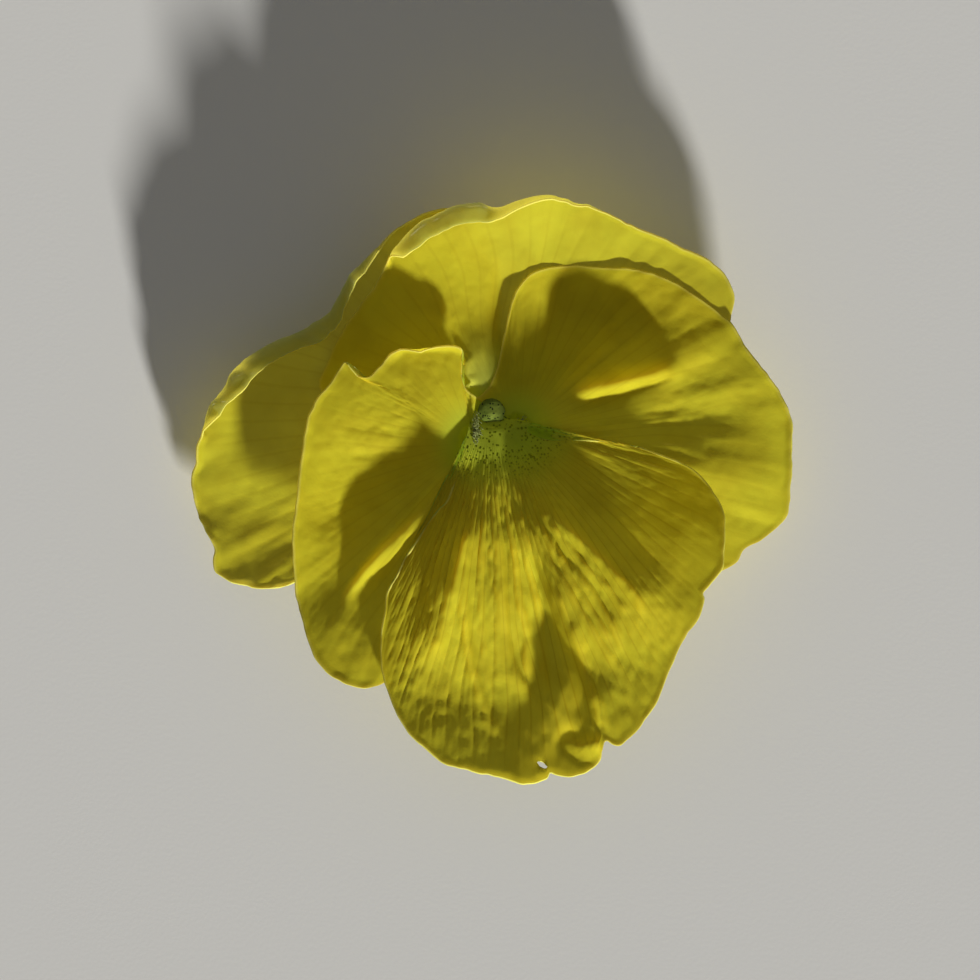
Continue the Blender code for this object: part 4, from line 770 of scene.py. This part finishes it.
def finish_material(tree, inputs, bump, passing=None, passed=0.0):
    """The surface, and where light passes, the share and the colour of what comes through."""
    surface = add_node(tree, "ShaderNodeBsdfPrincipled", {**inputs, "Normal": bump})
    if passing is not None:
        glow = add_node(tree, "ShaderNodeBsdfTranslucent", {"Color": passing, "Normal": bump})
        surface = add_node(tree, "ShaderNodeMixShader", {0: passed, 1: surface, 2: glow})
    add_node(tree, "ShaderNodeOutputMaterial", {0: surface})


def specks_on(tree, place, face, size_mm, kept, colour, near=1.0):
    """The face with small dots about size_mm apart, of which only the given share is kept."""
    cells = {"Vector": place, "Scale": 1000 / size_mm}
    apart = add_node(tree, "ShaderNodeTexVoronoi", cells, "Distance")
    cell_colour = add_node(tree, "ShaderNodeTexVoronoi", cells, "Color")
    chance = add_node(tree, "ShaderNodeSeparateColor", {0: cell_colour})
    dots = add_node(tree, STEP, {0: apart, 1: 0.26, 2: 0.42, 3: 1.0, 4: 0.0}, **SMOOTH)
    chosen = add_node(tree, STEP, {0: chance, 1: kept, 2: kept + 0.02, 3: 1.0, 4: 0.0}, **SMOOTH)
    dots = add_node(tree, MATH, {0: dots, 1: chosen}, operation="MULTIPLY")
    dots = add_node(tree, MATH, {0: dots, 1: near}, operation="MULTIPLY")
    return add_node(tree, MIX, {0: dots, 6: face, 7: (*colour, 1)}, **COLOURS)


def petal_tissue(name, colours, throat=False):
    """Living petal: matt cones of cells over a watery yellow layer that lets light through.

    The cones give a velvety dull face, the sap inside turns passing light a deeper golden yellow, and
    the veins show as fine darker threads. The threads lie in the grooves of the relief, and their darker
    colour there is partly the veins' own and partly painted shade, strongest on the lower petal.
    """
    material, tree, place = new_material(name)
    phase, run, edge = (
        add_node(tree, "ShaderNodeAttribute", output="Fac", attribute_name=mark)
        for mark in ("phase", "run", "edge")
    )
    # slow drifts of pigment, about 5 mm across, and smaller blotches of 1.2 mm
    drift = add_node(tree, NOISE, {"Vector": place, "Scale": 200, "Detail": 3})
    blotch = add_node(tree, NOISE, {"Vector": place, "Scale": 830, "Detail": 3})
    thread = add_node(tree, MATH, {0: phase, 1: 0.5}, operation="PINGPONG")
    spread = add_node(tree, STEP, {0: edge, 1: 1.0, 2: 6.0, 3: 0.05, 4: colours["vein_and_groove_shade_strength"]}, **SMOOTH)
    # veins 0.15 mm wide, on the relief's grooves: their darker colour is vein colour and painted groove shade
    vein_and_groove_shade = add_node(tree, STEP, {0: thread, 1: 0.02, 2: 0.14, 3: 1.0, 4: 0.0}, **SMOOTH)
    vein_and_groove_shade = add_node(tree, MATH, {0: vein_and_groove_shade, 1: spread}, operation="MULTIPLY")
    drift = add_node(tree, STEP, {0: drift, 1: 0.35, 2: 0.7, 3: 0.0, 4: 1.0}, **SMOOTH)
    blotch = add_node(tree, STEP, {0: blotch, 1: 0.45, 2: 0.7, 3: 0.0, 4: 0.3}, **SMOOTH)
    # the claw is greener towards the throat
    start, end = colours["green"]
    green = add_node(tree, STEP, {0: run, 1: start, 2: end, 3: 0.85, 4: 0.0}, **SMOOTH)
    # the thin margin is painted pale: a painted highlight of the bright line that light makes along its edge
    pale = add_node(tree, STEP, {0: edge, 1: 0.1, 2: 0.35, 3: 0.5, 4: 0.0}, **SMOOTH)

    face, passing = (*colours["face"], 1), (*colours["through"], 1)
    layers = ((drift, "deep"), (blotch, "deep"), (vein_and_groove_shade, "vein_and_groove_shade"), (green, "claw"), (pale, "margin"))
    for share, key in layers:
        face = add_node(tree, MIX, {0: share, 6: face, 7: (*colours[key], 1)}, **COLOURS)
    for share, key in ((drift, "through_deep"), (vein_and_groove_shade, "vein_through"), (green, "claw_through")):
        passing = add_node(tree, MIX, {0: share, 6: passing, 7: (*colours[key], 1)}, **COLOURS)
    if throat:
        near = add_node(tree, STEP, {0: run, 1: 5.0, 2: 7.5, 3: 1.0, 4: 0.0}, **SMOOTH)
        face = specks_on(tree, place, face, 0.32, 0.7, hex_colour(SPECKS), near)

    # cell cones are too fine to show, so their grain is drawn 0.25 mm coarse
    cells = add_node(tree, NOISE, {"Vector": place, "Scale": 4000, "Detail": 2})
    bump = add_node(tree, "ShaderNodeBump", {"Height": cells, "Strength": 0.25, "Distance": 0.00006})
    finish_material(
        tree, {"Base Color": face, "Roughness": 0.7, "Specular IOR Level": colours["sheen"]}, bump, passing,
        colours["passed"],
    )
    return material


def soft_tissue(name, colour, shade, grain_mm, through, roughness=0.5, specks=None):
    """Green or cream plant tissue: moist and slightly see-through, mottled and finely grained."""
    material, tree, place = new_material(name)
    blotch = add_node(tree, NOISE, {"Vector": place, "Scale": 700, "Detail": 4})
    blotch = add_node(tree, STEP, {0: blotch, 1: 0.35, 2: 0.65, 3: 0.0, 4: 1.0}, **SMOOTH)
    face = add_node(tree, MIX, {0: blotch, 6: (*colour, 1), 7: (*shade, 1)}, **COLOURS)
    if specks:
        face = specks_on(tree, place, face, 0.25, specks, hex_colour(GREEN_SPECKS))
    grain = add_node(tree, NOISE, {"Vector": place, "Scale": 1000 / grain_mm, "Detail": 3})
    bump = add_node(tree, "ShaderNodeBump", {"Height": grain, "Strength": 0.4, "Distance": 0.00008})
    finish_material(
        tree, {"Base Color": face, "Roughness": roughness, "Specular IOR Level": 0.1}, bump, face, through
    )
    return material


def studio_paper(colour):
    """Matt pale card, whose pressed fibres give it a faint tooth."""
    material, tree, place = new_material("matt_pale_card")
    tooth = add_node(tree, NOISE, {"Vector": place, "Scale": 2500, "Detail": 2})
    bump = add_node(tree, "ShaderNodeBump", {"Height": tooth, "Strength": 0.1, "Distance": 0.00005})
    finish_material(tree, {"Base Color": (*colour, 1), "Roughness": 0.9, "Specular IOR Level": 0.2}, bump)
    return material


# Modelling helpers

def clear_selection():
    for chosen in list(bpy.context.selected_objects):
        chosen.select_set(False)


def use(piece):
    """Makes a piece the only selected and active one."""
    clear_selection()
    piece.select_set(True)
    bpy.context.view_layer.objects.active = piece


def name_new(name):
    """Names the object that an operator has just made."""
    piece = bpy.context.object
    piece.name = piece.data.name = name
    return piece


def close_up():
    """Merges the doubles of the mesh in edit mode, and turns its faces outwards."""
    bpy.ops.mesh.select_all(action="SELECT")
    bpy.ops.mesh.remove_doubles(threshold=WELD_DISTANCE)
    bpy.ops.mesh.dissolve_degenerate(threshold=WELD_DISTANCE)
    bpy.ops.mesh.normals_make_consistent(inside=False)
    bpy.ops.object.mode_set(mode="OBJECT")


def apply_modifiers(piece):
    use(piece)
    for modifier in list(piece.modifiers):
        bpy.ops.object.modifier_apply(modifier=modifier.name)


def grid_piece(name, points, marks, thickness, materials):
    """A thin blade shaped from a flat grid: its face, its underside and its rim each have a material."""
    columns, rows = points.shape[:2]
    edge = points[:, -1, :2]
    turns = edge[:-1, 0] * edge[1:, 1] - edge[1:, 0] * edge[:-1, 1]
    if turns.sum() > 0:
        points = points[::-1]
        marks = {key: values[::-1] for key, values in marks.items()}
    clear_selection()
    bpy.ops.mesh.primitive_grid_add(x_subdivisions=columns - 1, y_subdivisions=rows - 1, size=2)
    piece = name_new(name)
    mesh = piece.data
    flat = np.zeros(len(mesh.vertices) * 3)
    mesh.vertices.foreach_get("co", flat)
    flat = flat.reshape(-1, 3)
    column = np.rint((flat[:, 0] + 1) / 2 * (columns - 1)).astype(int)
    row = np.rint((flat[:, 1] + 1) / 2 * (rows - 1)).astype(int)
    mesh.vertices.foreach_set("co", (points[column, row] * MM).ravel())
    for key, values in marks.items():
        layer = mesh.attributes.new(key, "FLOAT", "POINT")
        layer.data.foreach_set("value", np.ascontiguousarray(values[column, row], dtype=np.float32))
    mesh.update()
    for material in materials:
        mesh.materials.append(material)
    shell = piece.modifiers.new("thickness", "SOLIDIFY")
    shell.thickness = thickness * MM
    shell.offset = 0.0
    shell.material_offset = 1
    shell.material_offset_rim = 2
    return piece


def cut_hole(piece, centre, half_axes, turn):
    """Opens a torn oval hole through a blade before it gets its thickness."""
    mesh = piece.data
    use(piece)
    bpy.ops.object.mode_set(mode="EDIT")
    bpy.ops.mesh.select_mode(type="FACE")
    bpy.ops.mesh.select_all(action="DESELECT")
    bpy.ops.object.mode_set(mode="OBJECT")
    middle = Vector((*centre, 0))
    spin = Matrix.Rotation(turn, 3, "Z")
    size = Vector((*half_axes, 1))

    def from_centre(place):
        """The place in the hole's own axes, where its rim is at a distance of one."""
        away = spin.transposed() @ (place / MM - middle)
        return Vector((away.x / size.x, away.y / size.y))

    inside = [from_centre(face.center).length < 1 for face in mesh.polygons]
    mesh.polygons.foreach_set("select", inside)
    opened = {corner for face, gone in zip(mesh.polygons, inside) if gone for corner in face.vertices}
    kept = {corner for face, gone in zip(mesh.polygons, inside) if not gone for corner in face.vertices}
    # the corners along the opening move onto its rim, so that the hole is smooth
    for number in opened & kept:
        corner = mesh.vertices[number]
        away = from_centre(corner.co).normalized()
        rim = spin @ Vector((away.x * size.x, away.y * size.y, 0)) + middle
        corner.co.x, corner.co.y = rim.x * MM, rim.y * MM
    bpy.ops.object.mode_set(mode="EDIT")
    bpy.ops.mesh.delete(type="FACE")
    bpy.ops.object.mode_set(mode="OBJECT")


def finish_piece(piece, slot, *nodes):
    apply_modifiers(piece)
    bpy.ops.object.shade_smooth()
    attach(piece, "root")
    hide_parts(*nodes)


def join_pieces(pieces, name):
    clear_selection()
    for piece in pieces:
        piece.select_set(True)
    bpy.context.view_layer.objects.active = pieces[0]
    bpy.ops.object.join()
    return name_new(name)


def tube_piece(name, path, radii, material, sides=6):
    """A round tube with closed ends along a path, given in millimetres."""
    clear_selection()
    bpy.ops.curve.primitive_nurbs_path_add(radius=1)
    guide = bpy.context.object
    curve = guide.data
    curve.splines.clear()
    line = curve.splines.new("POLY")
    line.points.add(len(path) - 1)
    for point, spot, radius in zip(line.points, path, radii):
        point.co = (*(Vector(spot) * MM), 1.0)
        point.radius = radius
    curve.dimensions = "3D"
    curve.bevel_depth = MM
    curve.bevel_resolution = sides
    curve.use_fill_caps = True
    bpy.ops.object.convert(target="MESH")
    piece = name_new(name)
    bpy.ops.object.mode_set(mode="EDIT")
    close_up()
    piece.data.materials.clear()
    piece.data.materials.append(material)
    return piece


def turned_piece(name, profile, material, ring=False):
    """A body spun about the throat's axis from (radius, height) points in millimetres."""
    axis = Vector((*THROAT, 0)) * MM
    clear_selection()
    bpy.ops.mesh.primitive_plane_add(size=MM)
    piece = name_new(name)
    count = len(profile)
    pairs = [(i, i + 1) for i in range(count - 1)] + ([(count - 1, 0)] if ring else [])
    piece.data.clear_geometry()
    piece.data.from_pydata([tuple(axis + Vector((r, 0, z)) * MM) for r, z in profile], pairs, [])
    bpy.ops.object.mode_set(mode="EDIT")
    bpy.ops.mesh.select_mode(type="VERT")
    bpy.ops.mesh.select_all(action="SELECT")
    bpy.ops.mesh.spin(steps=SPIN_STEPS, angle=math.tau, center=axis, axis=(0, 0, 1))
    close_up()
    piece.data.materials.append(material)
    return piece


def round_piece(name, centre, size, material, shape, segments, turn=0.0):
    """A ball of half-axes size; shape moves each of its directions in or out by a share."""
    clear_selection()
    bpy.ops.mesh.primitive_uv_sphere_add(segments=segments, ring_count=segments // 2, radius=1)
    piece = name_new(name)
    spin = Matrix.Rotation(turn, 3, "Z")
    for corner in piece.data.vertices:
        share = shape(corner.co.normalized())
        corner.co = (Vector(centre) + spin @ (corner.co * Vector(size) * share)) * MM
    piece.data.update()
    piece.data.materials.append(material)
    return piece


def polar(angle, distance):
    """A point at a distance from the throat's axis, at an angle in degrees from X."""
    turn = math.radians(angle)
    return THROAT[0] + distance * math.cos(turn), THROAT[1] + distance * math.sin(turn)


def rounded_path(path, steps=8):
    """The path with rounded bends: quadratic curves between the middles of its legs."""
    corners = [Vector(point) for point in path]
    middles = [(a + b) / 2 for a, b in zip(corners, corners[1:])]
    points = [corners[0]]
    for before, corner, after in zip(middles, corners[1:-1], middles[1:]):
        for i in range(steps):
            t = i / steps
            points.append((1 - t) ** 2 * before + 2 * t * (1 - t) * corner + t * t * after)
    return points + [middles[-1], corners[-1]]


# What a user can change

def colour_setting(name, description, code):
    return bpy.props.FloatVectorProperty(
        name=name, description=description, default=hex_colour(code), subtype="COLOR"
    )


def angle_setting(name, description, degrees):
    return bpy.props.FloatProperty(
        name=name, description=description, default=math.radians(degrees), subtype="ANGLE"
    )


class PetalSettings(bpy.types.PropertyGroup):
    thickness: bpy.props.FloatProperty(
        name="Thickness", description="Thickness of a petal", default=0.0002, unit="LENGTH", precision=5
    )
    rays: bpy.props.IntProperty(name="Rays", description="Mesh columns across a petal", default=300)
    rows: bpy.props.IntProperty(name="Rows", description="Mesh rows from the claw to the margin", default=112)
    roll_rows: bpy.props.IntProperty(
        name="Roll rows", description="Mesh rows round a rolled margin", default=14
    )
    face: colour_setting("Face", "Colour of the petals' face", "#e6e134")
    deep: colour_setting("Deep", "Deeper yellow in which the face drifts", "#dbd02e")
    back: colour_setting("Back", "Greyer green-yellow of the upper petals' backs", "#c2d294")
    through: colour_setting("Through", "Colour of light that has passed a petal", "#ffdd58")
    # the margin's pale colour is a painted highlight along the thin edge
    margin: colour_setting("Margin", "Pale colour of the thin margin", "#f0eb6e")


class GreenSettings(bpy.types.PropertyGroup):
    sepal: colour_setting("Sepals", "Green of the sepals", "#74913f")
    stalk: colour_setting("Stalk", "Green of the stalk and receptacle", "#7f9a4a")
    stigma: colour_setting("Stigma", "Green of the stigma head", "#869438")
    anther: colour_setting("Anthers", "Cream of the anthers", "#d8c98a")
    hairs: bpy.props.FloatProperty(
        name="Beard", description="Share of the side petals' beard hairs", default=1.0, subtype="FACTOR"
    )


class StageSettings(bpy.types.PropertyGroup):
    floor: colour_setting("Floor", "Colour of the floor", "#e4e2dc")
    key: bpy.props.FloatProperty(name="Key light", description="Strength of the key light", default=5.9)
    key_height: angle_setting("Key height", "Height of the key light over the horizon", 14.5)
    key_turn: angle_setting("Key direction", "Direction the key light comes from", -70)
    softness: angle_setting("Softness", "Angle that the key light spans", 5)
    fill: bpy.props.FloatProperty(name="Fill light", description="Strength of the even light", default=0.16)
    distance: bpy.props.FloatProperty(
        name="Camera distance", description="Height of the camera over the floor", default=1.008,
        unit="LENGTH",
    )


# The pieces

def petal_materials(settings, petal):
    """A petal's face, its back and its cut rim."""

    def coloured(codes):
        return {key: hex_colour(code) for key, code in codes.items()}

    margin = tuple(settings.margin)
    face = {
        **coloured(FACE),
        "face": tuple(settings.face),
        "deep": tuple(settings.deep),
        "through": tuple(settings.through),
        "margin": margin,
        # from where to where the claw's green fades, in mm from its end
        "green": (3.0 if petal is LOWER else 1.0, 9.0 if petal in (UPPER_RIGHT, LOWER) else 5.0),
        # the vein lines lie in the grooves; on the deeply ribbed lower petal they are painted darker, as
        # painted shade
        "vein_and_groove_shade_strength": 0.4 if petal is LOWER else 0.2,
        "passed": 0.6,
        "sheen": 0.05,
    }
    # the upper right claw gets its paler green, part of which is painted light
    if petal is UPPER_RIGHT:
        face["claw"] = hex_colour(UPPER_RIGHT_CLAW_WITH_PAINTED_LIGHT)
    back = {**face, "face": tuple(settings.back), **coloured(GREY_BACK), "passed": 0.85}
    if petal in (SIDE_LEFT, SIDE_RIGHT, LOWER):
        # only slivers of these backs show, as yellow as the face
        back.update(coloured(YELLOW_BACK))
    # the cut rim is painted the pale margin colour too, a painted highlight along the edge
    rim = {key: hex_colour(RIM_THROUGH) if "through" in key else value for key, value in face.items()}
    rim.update({"face": margin, "deep": margin, "sheen": 0.0, "passed": 0.45})
    stem = petal.name.removeprefix("petal_")
    return [
        petal_tissue(f"{stem}_petal_face", face, throat=petal is LOWER),
        petal_tissue(f"{stem}_petal_back", back),
        petal_tissue(f"{stem}_petal_rim", rim),
    ]


class PANSY_OT_petals(bpy.types.Operator):
    """Add the five petals, each a thin shell with its folds, veins, rolled margin and torn places"""

    bl_idname = "pansy.add_petals"
    bl_label = "Petals"

    def execute(self, context):
        settings = context.scene.pansy_petals
        for petal in PETALS:
            size = LOWER_GRID if petal is LOWER else (settings.rays, settings.rows, settings.roll_rows)
            points, marks = petal.grid(*size)
            name = petal.name.removeprefix("petal_") + "_petal"
            materials = petal_materials(settings, petal)
            piece = grid_piece(name, points, marks, settings.thickness / MM, materials)
            if petal is LOWER:
                cut_hole(piece, TEAR_CENTRE, TEAR_SIZE, TEAR_TURN)
            finish_piece(piece, "petal_yellow", petal.name)
        return {"FINISHED"}


class PANSY_OT_spur(bpy.types.Operator):
    """Add the nectar spur behind the lower petal"""

    bl_idname = "pansy.add_spur"
    bl_label = "Spur"

    def execute(self, context):
        # thicker than the blade, so paler and waxier
        tissue = soft_tissue("spur_tissue", hex_colour("#b9bd52"), hex_colour("#9aa53f"), 0.3, 0.3)
        zs, radii, shifts = zip(*SPUR_PROFILE)
        xs, ys = zip(*(polar(LOWER_PETAL_ANGLE, SPUR_DISTANCE + shift) for shift in shifts))
        heights = np.linspace(zs[0], zs[-1], SPUR_RINGS)
        path = [(np.interp(h, zs, xs), np.interp(h, zs, ys), h) for h in heights]
        wide = [np.interp(h, zs, radii) * (1 + SPUR_WAVE * math.sin(5 * h)) for h in heights]
        piece = tube_piece("nectar_spur", path, wide, tissue, TUBE_SIDES)
        finish_piece(piece, "petal_yellow", "petal_lower")
        return {"FINISHED"}


def leaf_points(angle, reach, heights, widths, droop, detail):
    """Middle surface of a sepal or an auricle that points away from the throat's axis."""
    cross_rows, length_rows, rib = detail
    shares, halves = zip(*widths)
    share = np.linspace(0, 1, length_rows)[None]
    side = np.linspace(-1, 1, cross_rows)[:, None]
    half = np.interp(share, shares, halves)
    distance = SEPAL_BASE_RADIUS + (reach - SEPAL_BASE_RADIUS) * share
    turn = math.radians(angle)
    x = THROAT[0] + math.cos(turn) * distance - math.sin(turn) * side * half
    y = THROAT[1] + math.sin(turn) * distance + math.cos(turn) * side * half
    middle = heights[0] + (heights[1] - heights[0]) * share**droop
    keel = SEPAL_KEEL * half * side**2 * ease_in(4 * (1 - share))
    veins = rib * np.exp(-((side / RIB_WIDTH) ** 2)) + VEIN_SHARE * rib * np.cos(9 * side - 3 * share)
    waves = LEAF_WAVE * noise(share * 9, side * 2 + angle, 31) * half
    return np.stack(np.broadcast_arrays(x, y, middle + keel - veins * (1 - share) + waves), axis=2)


class PANSY_OT_calyx(bpy.types.Operator):
    """Add the receptacle, the five sepals with their auricles, and the cut stalk"""

    bl_idname = "pansy.add_calyx"
    bl_label = "Calyx and stalk"

    def execute(self, context):
        settings = context.scene.pansy_greens
        # leaf green with a soft gloss that light passes at the edges
        leaf = soft_tissue("sepal_tissue", tuple(settings.sepal), hex_colour("#5f7d31"), 0.35, 0.25)
        # firm and juicy, a paler green that light hardly passes
        stem = soft_tissue("stalk_tissue", tuple(settings.stalk), hex_colour("#69873a"), 0.3, 0.05)
        blades = []
        for angle, reach, tip in SEPALS:
            heights = (SEPAL_BASE_HEIGHT, tip)
            long = leaf_points(angle, reach, heights, SEPAL_WIDTHS, SEPAL_DROOP, SEPAL_DETAIL)
            heights = (AURICLE_BASE_HEIGHT, AURICLE_TIP_HEIGHT)
            short = leaf_points(
                angle, AURICLE_REACH, heights, AURICLE_WIDTHS, AURICLE_DROOP, AURICLE_DETAIL
            )
            for points in (long, short):
                blade = grid_piece("blade", points, {}, SEPAL_THICKNESS, [leaf] * 3)
                apply_modifiers(blade)
                blades.append(blade)
        finish_piece(join_pieces(blades, "sepals"), "sepal_green", "calyx_and_stalk")
        knob = turned_piece("receptacle", RECEPTACLE_PROFILE, stem)
        rounding = knob.modifiers.new("rounding", "BEVEL")
        rounding.width = RECEPTACLE_ROUNDING * MM
        rounding.segments = 3
        finish_piece(knob, "sepal_green", "calyx_and_stalk")
        path = rounded_path(STALK_PATH, 14)
        radii = [STALK_RADIUS * (1 - STALK_WAVE * math.sin(0.9 * i)) for i in range(len(path))]
        stalk = tube_piece("stalk", path, radii, stem, TUBE_SIDES)
        finish_piece(stalk, "sepal_green", "calyx_and_stalk")
        return {"FINISHED"}


def furrowed(way):
    """The shape of an anther, with a furrow along its outer side."""
    return 1 - ANTHER_FURROW * math.exp(-((way.y / ANTHER_FURROW) ** 2)) * max(way.x, 0)


class PANSY_OT_stamens(bpy.types.Operator):
    """Add the cone of five anthers round the ovary"""

    bl_idname = "pansy.add_stamens"
    bl_label = "Stamens"

    def execute(self, context):
        cream = tuple(context.scene.pansy_greens.anther)
        # dry cream skin, dusted with orange pollen
        pollen = soft_tissue("anther_tissue", cream, hex_colour("#b98a3c"), 0.15, 0.1, 0.8)
        parts = [turned_piece("cone", CONE_PROFILE, pollen, ring=True)]
        for number in range(5):
            angle = LOWER_PETAL_ANGLE + (number + 0.5) * 72
            centre = (*polar(angle, CONE_MIDDLE), (ANTHER_BOTTOM + ANTHER_TOP) / 2)
            size = (ANTHER_DEPTH, ANTHER_WIDTH, (ANTHER_TOP - ANTHER_BOTTOM) / 2)
            parts.append(round_piece("anther", centre, size, pollen, furrowed, 24, math.radians(angle)))
        finish_piece(join_pieces(parts, "anther_cone"), "anther_cream", "stamens")
        return {"FINISHED"}


class PANSY_OT_pistil(bpy.types.Operator):
    """Add the ovary, the bent style and the stigma head with its hollow and the lip round it"""

    bl_idname = "pansy.add_pistil"
    bl_label = "Pistil"

    def execute(self, context):
        green = tuple(context.scene.pansy_greens.stigma)
        # moist green flesh with fine dark dots
        flesh = soft_tissue("stigma_tissue", green, hex_colour("#6c7c2a"), 0.2, 0.2, 0.8, 0.6)
        pit = Vector(STIGMA_PIT).normalized()

        def head_shape(way):
            hollow = STIGMA_PIT_DEPTH * math.exp(-((way.angle(pit) / STIGMA_PIT_SPREAD) ** 2))
            lip = STIGMA_LIP * math.exp(-(((way.angle(pit) - STIGMA_LIP_ANGLE) / STIGMA_LIP_SPREAD) ** 2))
            bumps = STIGMA_BUMPS * noise(way.x * 5 + 9, way.y * 5 + way.z * 3 + 9, 41)
            return 1 - hollow + lip + float(bumps)

        parts = [
            turned_piece("ovary", OVARY_PROFILE, flesh),
            round_piece("head", STIGMA_CENTRE, STIGMA_SIZE, flesh, head_shape, 56),
        ]
        path = rounded_path([STYLE_FOOT, STYLE_BEND, STIGMA_CENTRE])
        parts.append(tube_piece("style", path, [STYLE_RADIUS] * len(path), flesh))
        finish_piece(join_pieces(parts, "pistil_with_stigma"), "stigma_green", "pistil")
        return {"FINISHED"}


class PANSY_OT_beard(bpy.types.Operator):
    """Add the tufts of short clubbed hairs on the side petals' claws"""

    bl_idname = "pansy.add_beard"
    bl_label = "Beard"

    def execute(self, context):
        density = context.scene.pansy_greens.hairs
        # watery hairs, pale with a wet gloss
        pale = soft_tissue("beard_hair", hex_colour("#bcc27e"), hex_colour("#9ea660"), 0.2, 0.35, 0.4)
        draw = np.random.default_rng(7)
        for petal, name, centre, spread, lean, count, over in BEARDS:
            hairs = []
            for _ in range(round(density * count)):
                offset = draw.normal(0, 1, 2) * spread
                x, y = centre[0] + offset[0], centre[1] + offset[1]
                foot = over + float(petal.lift(x, y, PAST_CLAW))
                length = draw.uniform(*HAIR_LENGTHS)
                tip = Vector((x + lean[0] * length, y + lean[1] * length, foot + HAIR_RISE * length))
                tip += Vector(draw.uniform(-HAIR_WANDER, HAIR_WANDER, 3))
                middle = Vector((x, y, foot)).lerp(tip, 0.55)
                path = [Vector((x, y, foot - HAIR_ROOT)), middle, tip.lerp(middle, 0.25), tip]
                hairs.append(tube_piece("hair", path, HAIR_RADII, pale, sides=1))
            finish_piece(join_pieces(hairs, name), "petal_yellow", petal.name)
        return {"FINISHED"}


class PANSY_OT_stage(bpy.types.Operator):
    """Add the pale floor, the soft studio light and the camera over the flower's face"""

    bl_idname = "pansy.add_stage"
    bl_label = "Stage"

    def execute(self, context):
        scene = context.scene
        settings = scene.pansy_stage
        clear_selection()
        bpy.ops.mesh.primitive_plane_add(size=FLOOR_WIDTH)
        floor = context.object
        floor.name = "studio_floor"
        floor.data.materials.append(studio_paper(tuple(settings.floor)))
        # the floor throws no light back on the bloom, so the shade between its petals stays deep
        floor.visible_diffuse = False
        floor.visible_transmission = False

        light = bpy.data.lights.new("key_light", "SUN")
        light.energy = settings.key
        light.angle = settings.softness
        key = bpy.data.objects.new("key_light", light)
        turn, height = settings.key_turn, settings.key_height
        level = math.cos(height)
        towards = Vector((level * math.cos(turn), level * math.sin(turn), math.sin(height)))
        key.rotation_euler = towards.to_track_quat("Z", "Y").to_euler()
        scene.collection.objects.link(key)

        world = bpy.data.worlds.new("studio_fill")
        world.use_nodes = True
        sky = world.node_tree.nodes["Background"]
        sky.inputs["Color"].default_value = (1.0, 1.0, 1.0, 1.0)
        sky.inputs["Strength"].default_value = settings.fill
        scene.world = world

        lens = bpy.data.cameras.new("camera")
        lens.sensor_width = SENSOR_WIDTH
        lens.lens = lens.sensor_width * FOCUS_DISTANCE / FRAME_WIDTH
        lens.clip_start = 0.01
        camera = bpy.data.objects.new("camera", lens)
        camera.location = (*CAMERA_PLACE, settings.distance)
        scene.collection.objects.link(camera)
        scene.camera = camera
        scene.view_settings.view_transform = "Standard"
        return {"FINISHED"}


SETTINGS = {"pansy_petals": PetalSettings, "pansy_greens": GreenSettings, "pansy_stage": StageSettings}
STEPS = (
    PANSY_OT_petals, PANSY_OT_spur, PANSY_OT_calyx, PANSY_OT_stamens, PANSY_OT_pistil, PANSY_OT_beard,
    PANSY_OT_stage,
)


class PANSY_PT_panel(bpy.types.Panel):
    bl_idname = "PANSY_PT_panel"
    bl_label = "Pansy bloom"
    bl_space_type = "VIEW_3D"
    bl_region_type = "UI"
    bl_category = "Pansy"

    def draw(self, context):
        for group, kind in SETTINGS.items():
            box = self.layout.box()
            for name in kind.__annotations__:
                box.prop(getattr(context.scene, group), name)
        for step in STEPS:
            self.layout.operator(step.bl_idname)


CLASSES = (*SETTINGS.values(), *STEPS, PANSY_PT_panel)


def register():
    for kind in CLASSES:
        bpy.utils.register_class(kind)
    for group, kind in SETTINGS.items():
        setattr(bpy.types.Scene, group, bpy.props.PointerProperty(type=kind))


def unregister():
    for group in SETTINGS:
        delattr(bpy.types.Scene, group)
    for kind in reversed(CLASSES):
        bpy.utils.unregister_class(kind)


def main():
    register()
    bpy.ops.pansy.add_petals()
    bpy.ops.pansy.add_spur()
    bpy.ops.pansy.add_calyx()
    bpy.ops.pansy.add_stamens()
    bpy.ops.pansy.add_pistil()
    bpy.ops.pansy.add_beard()
    bpy.ops.pansy.add_stage()


if __name__ == "__main__":
    main()
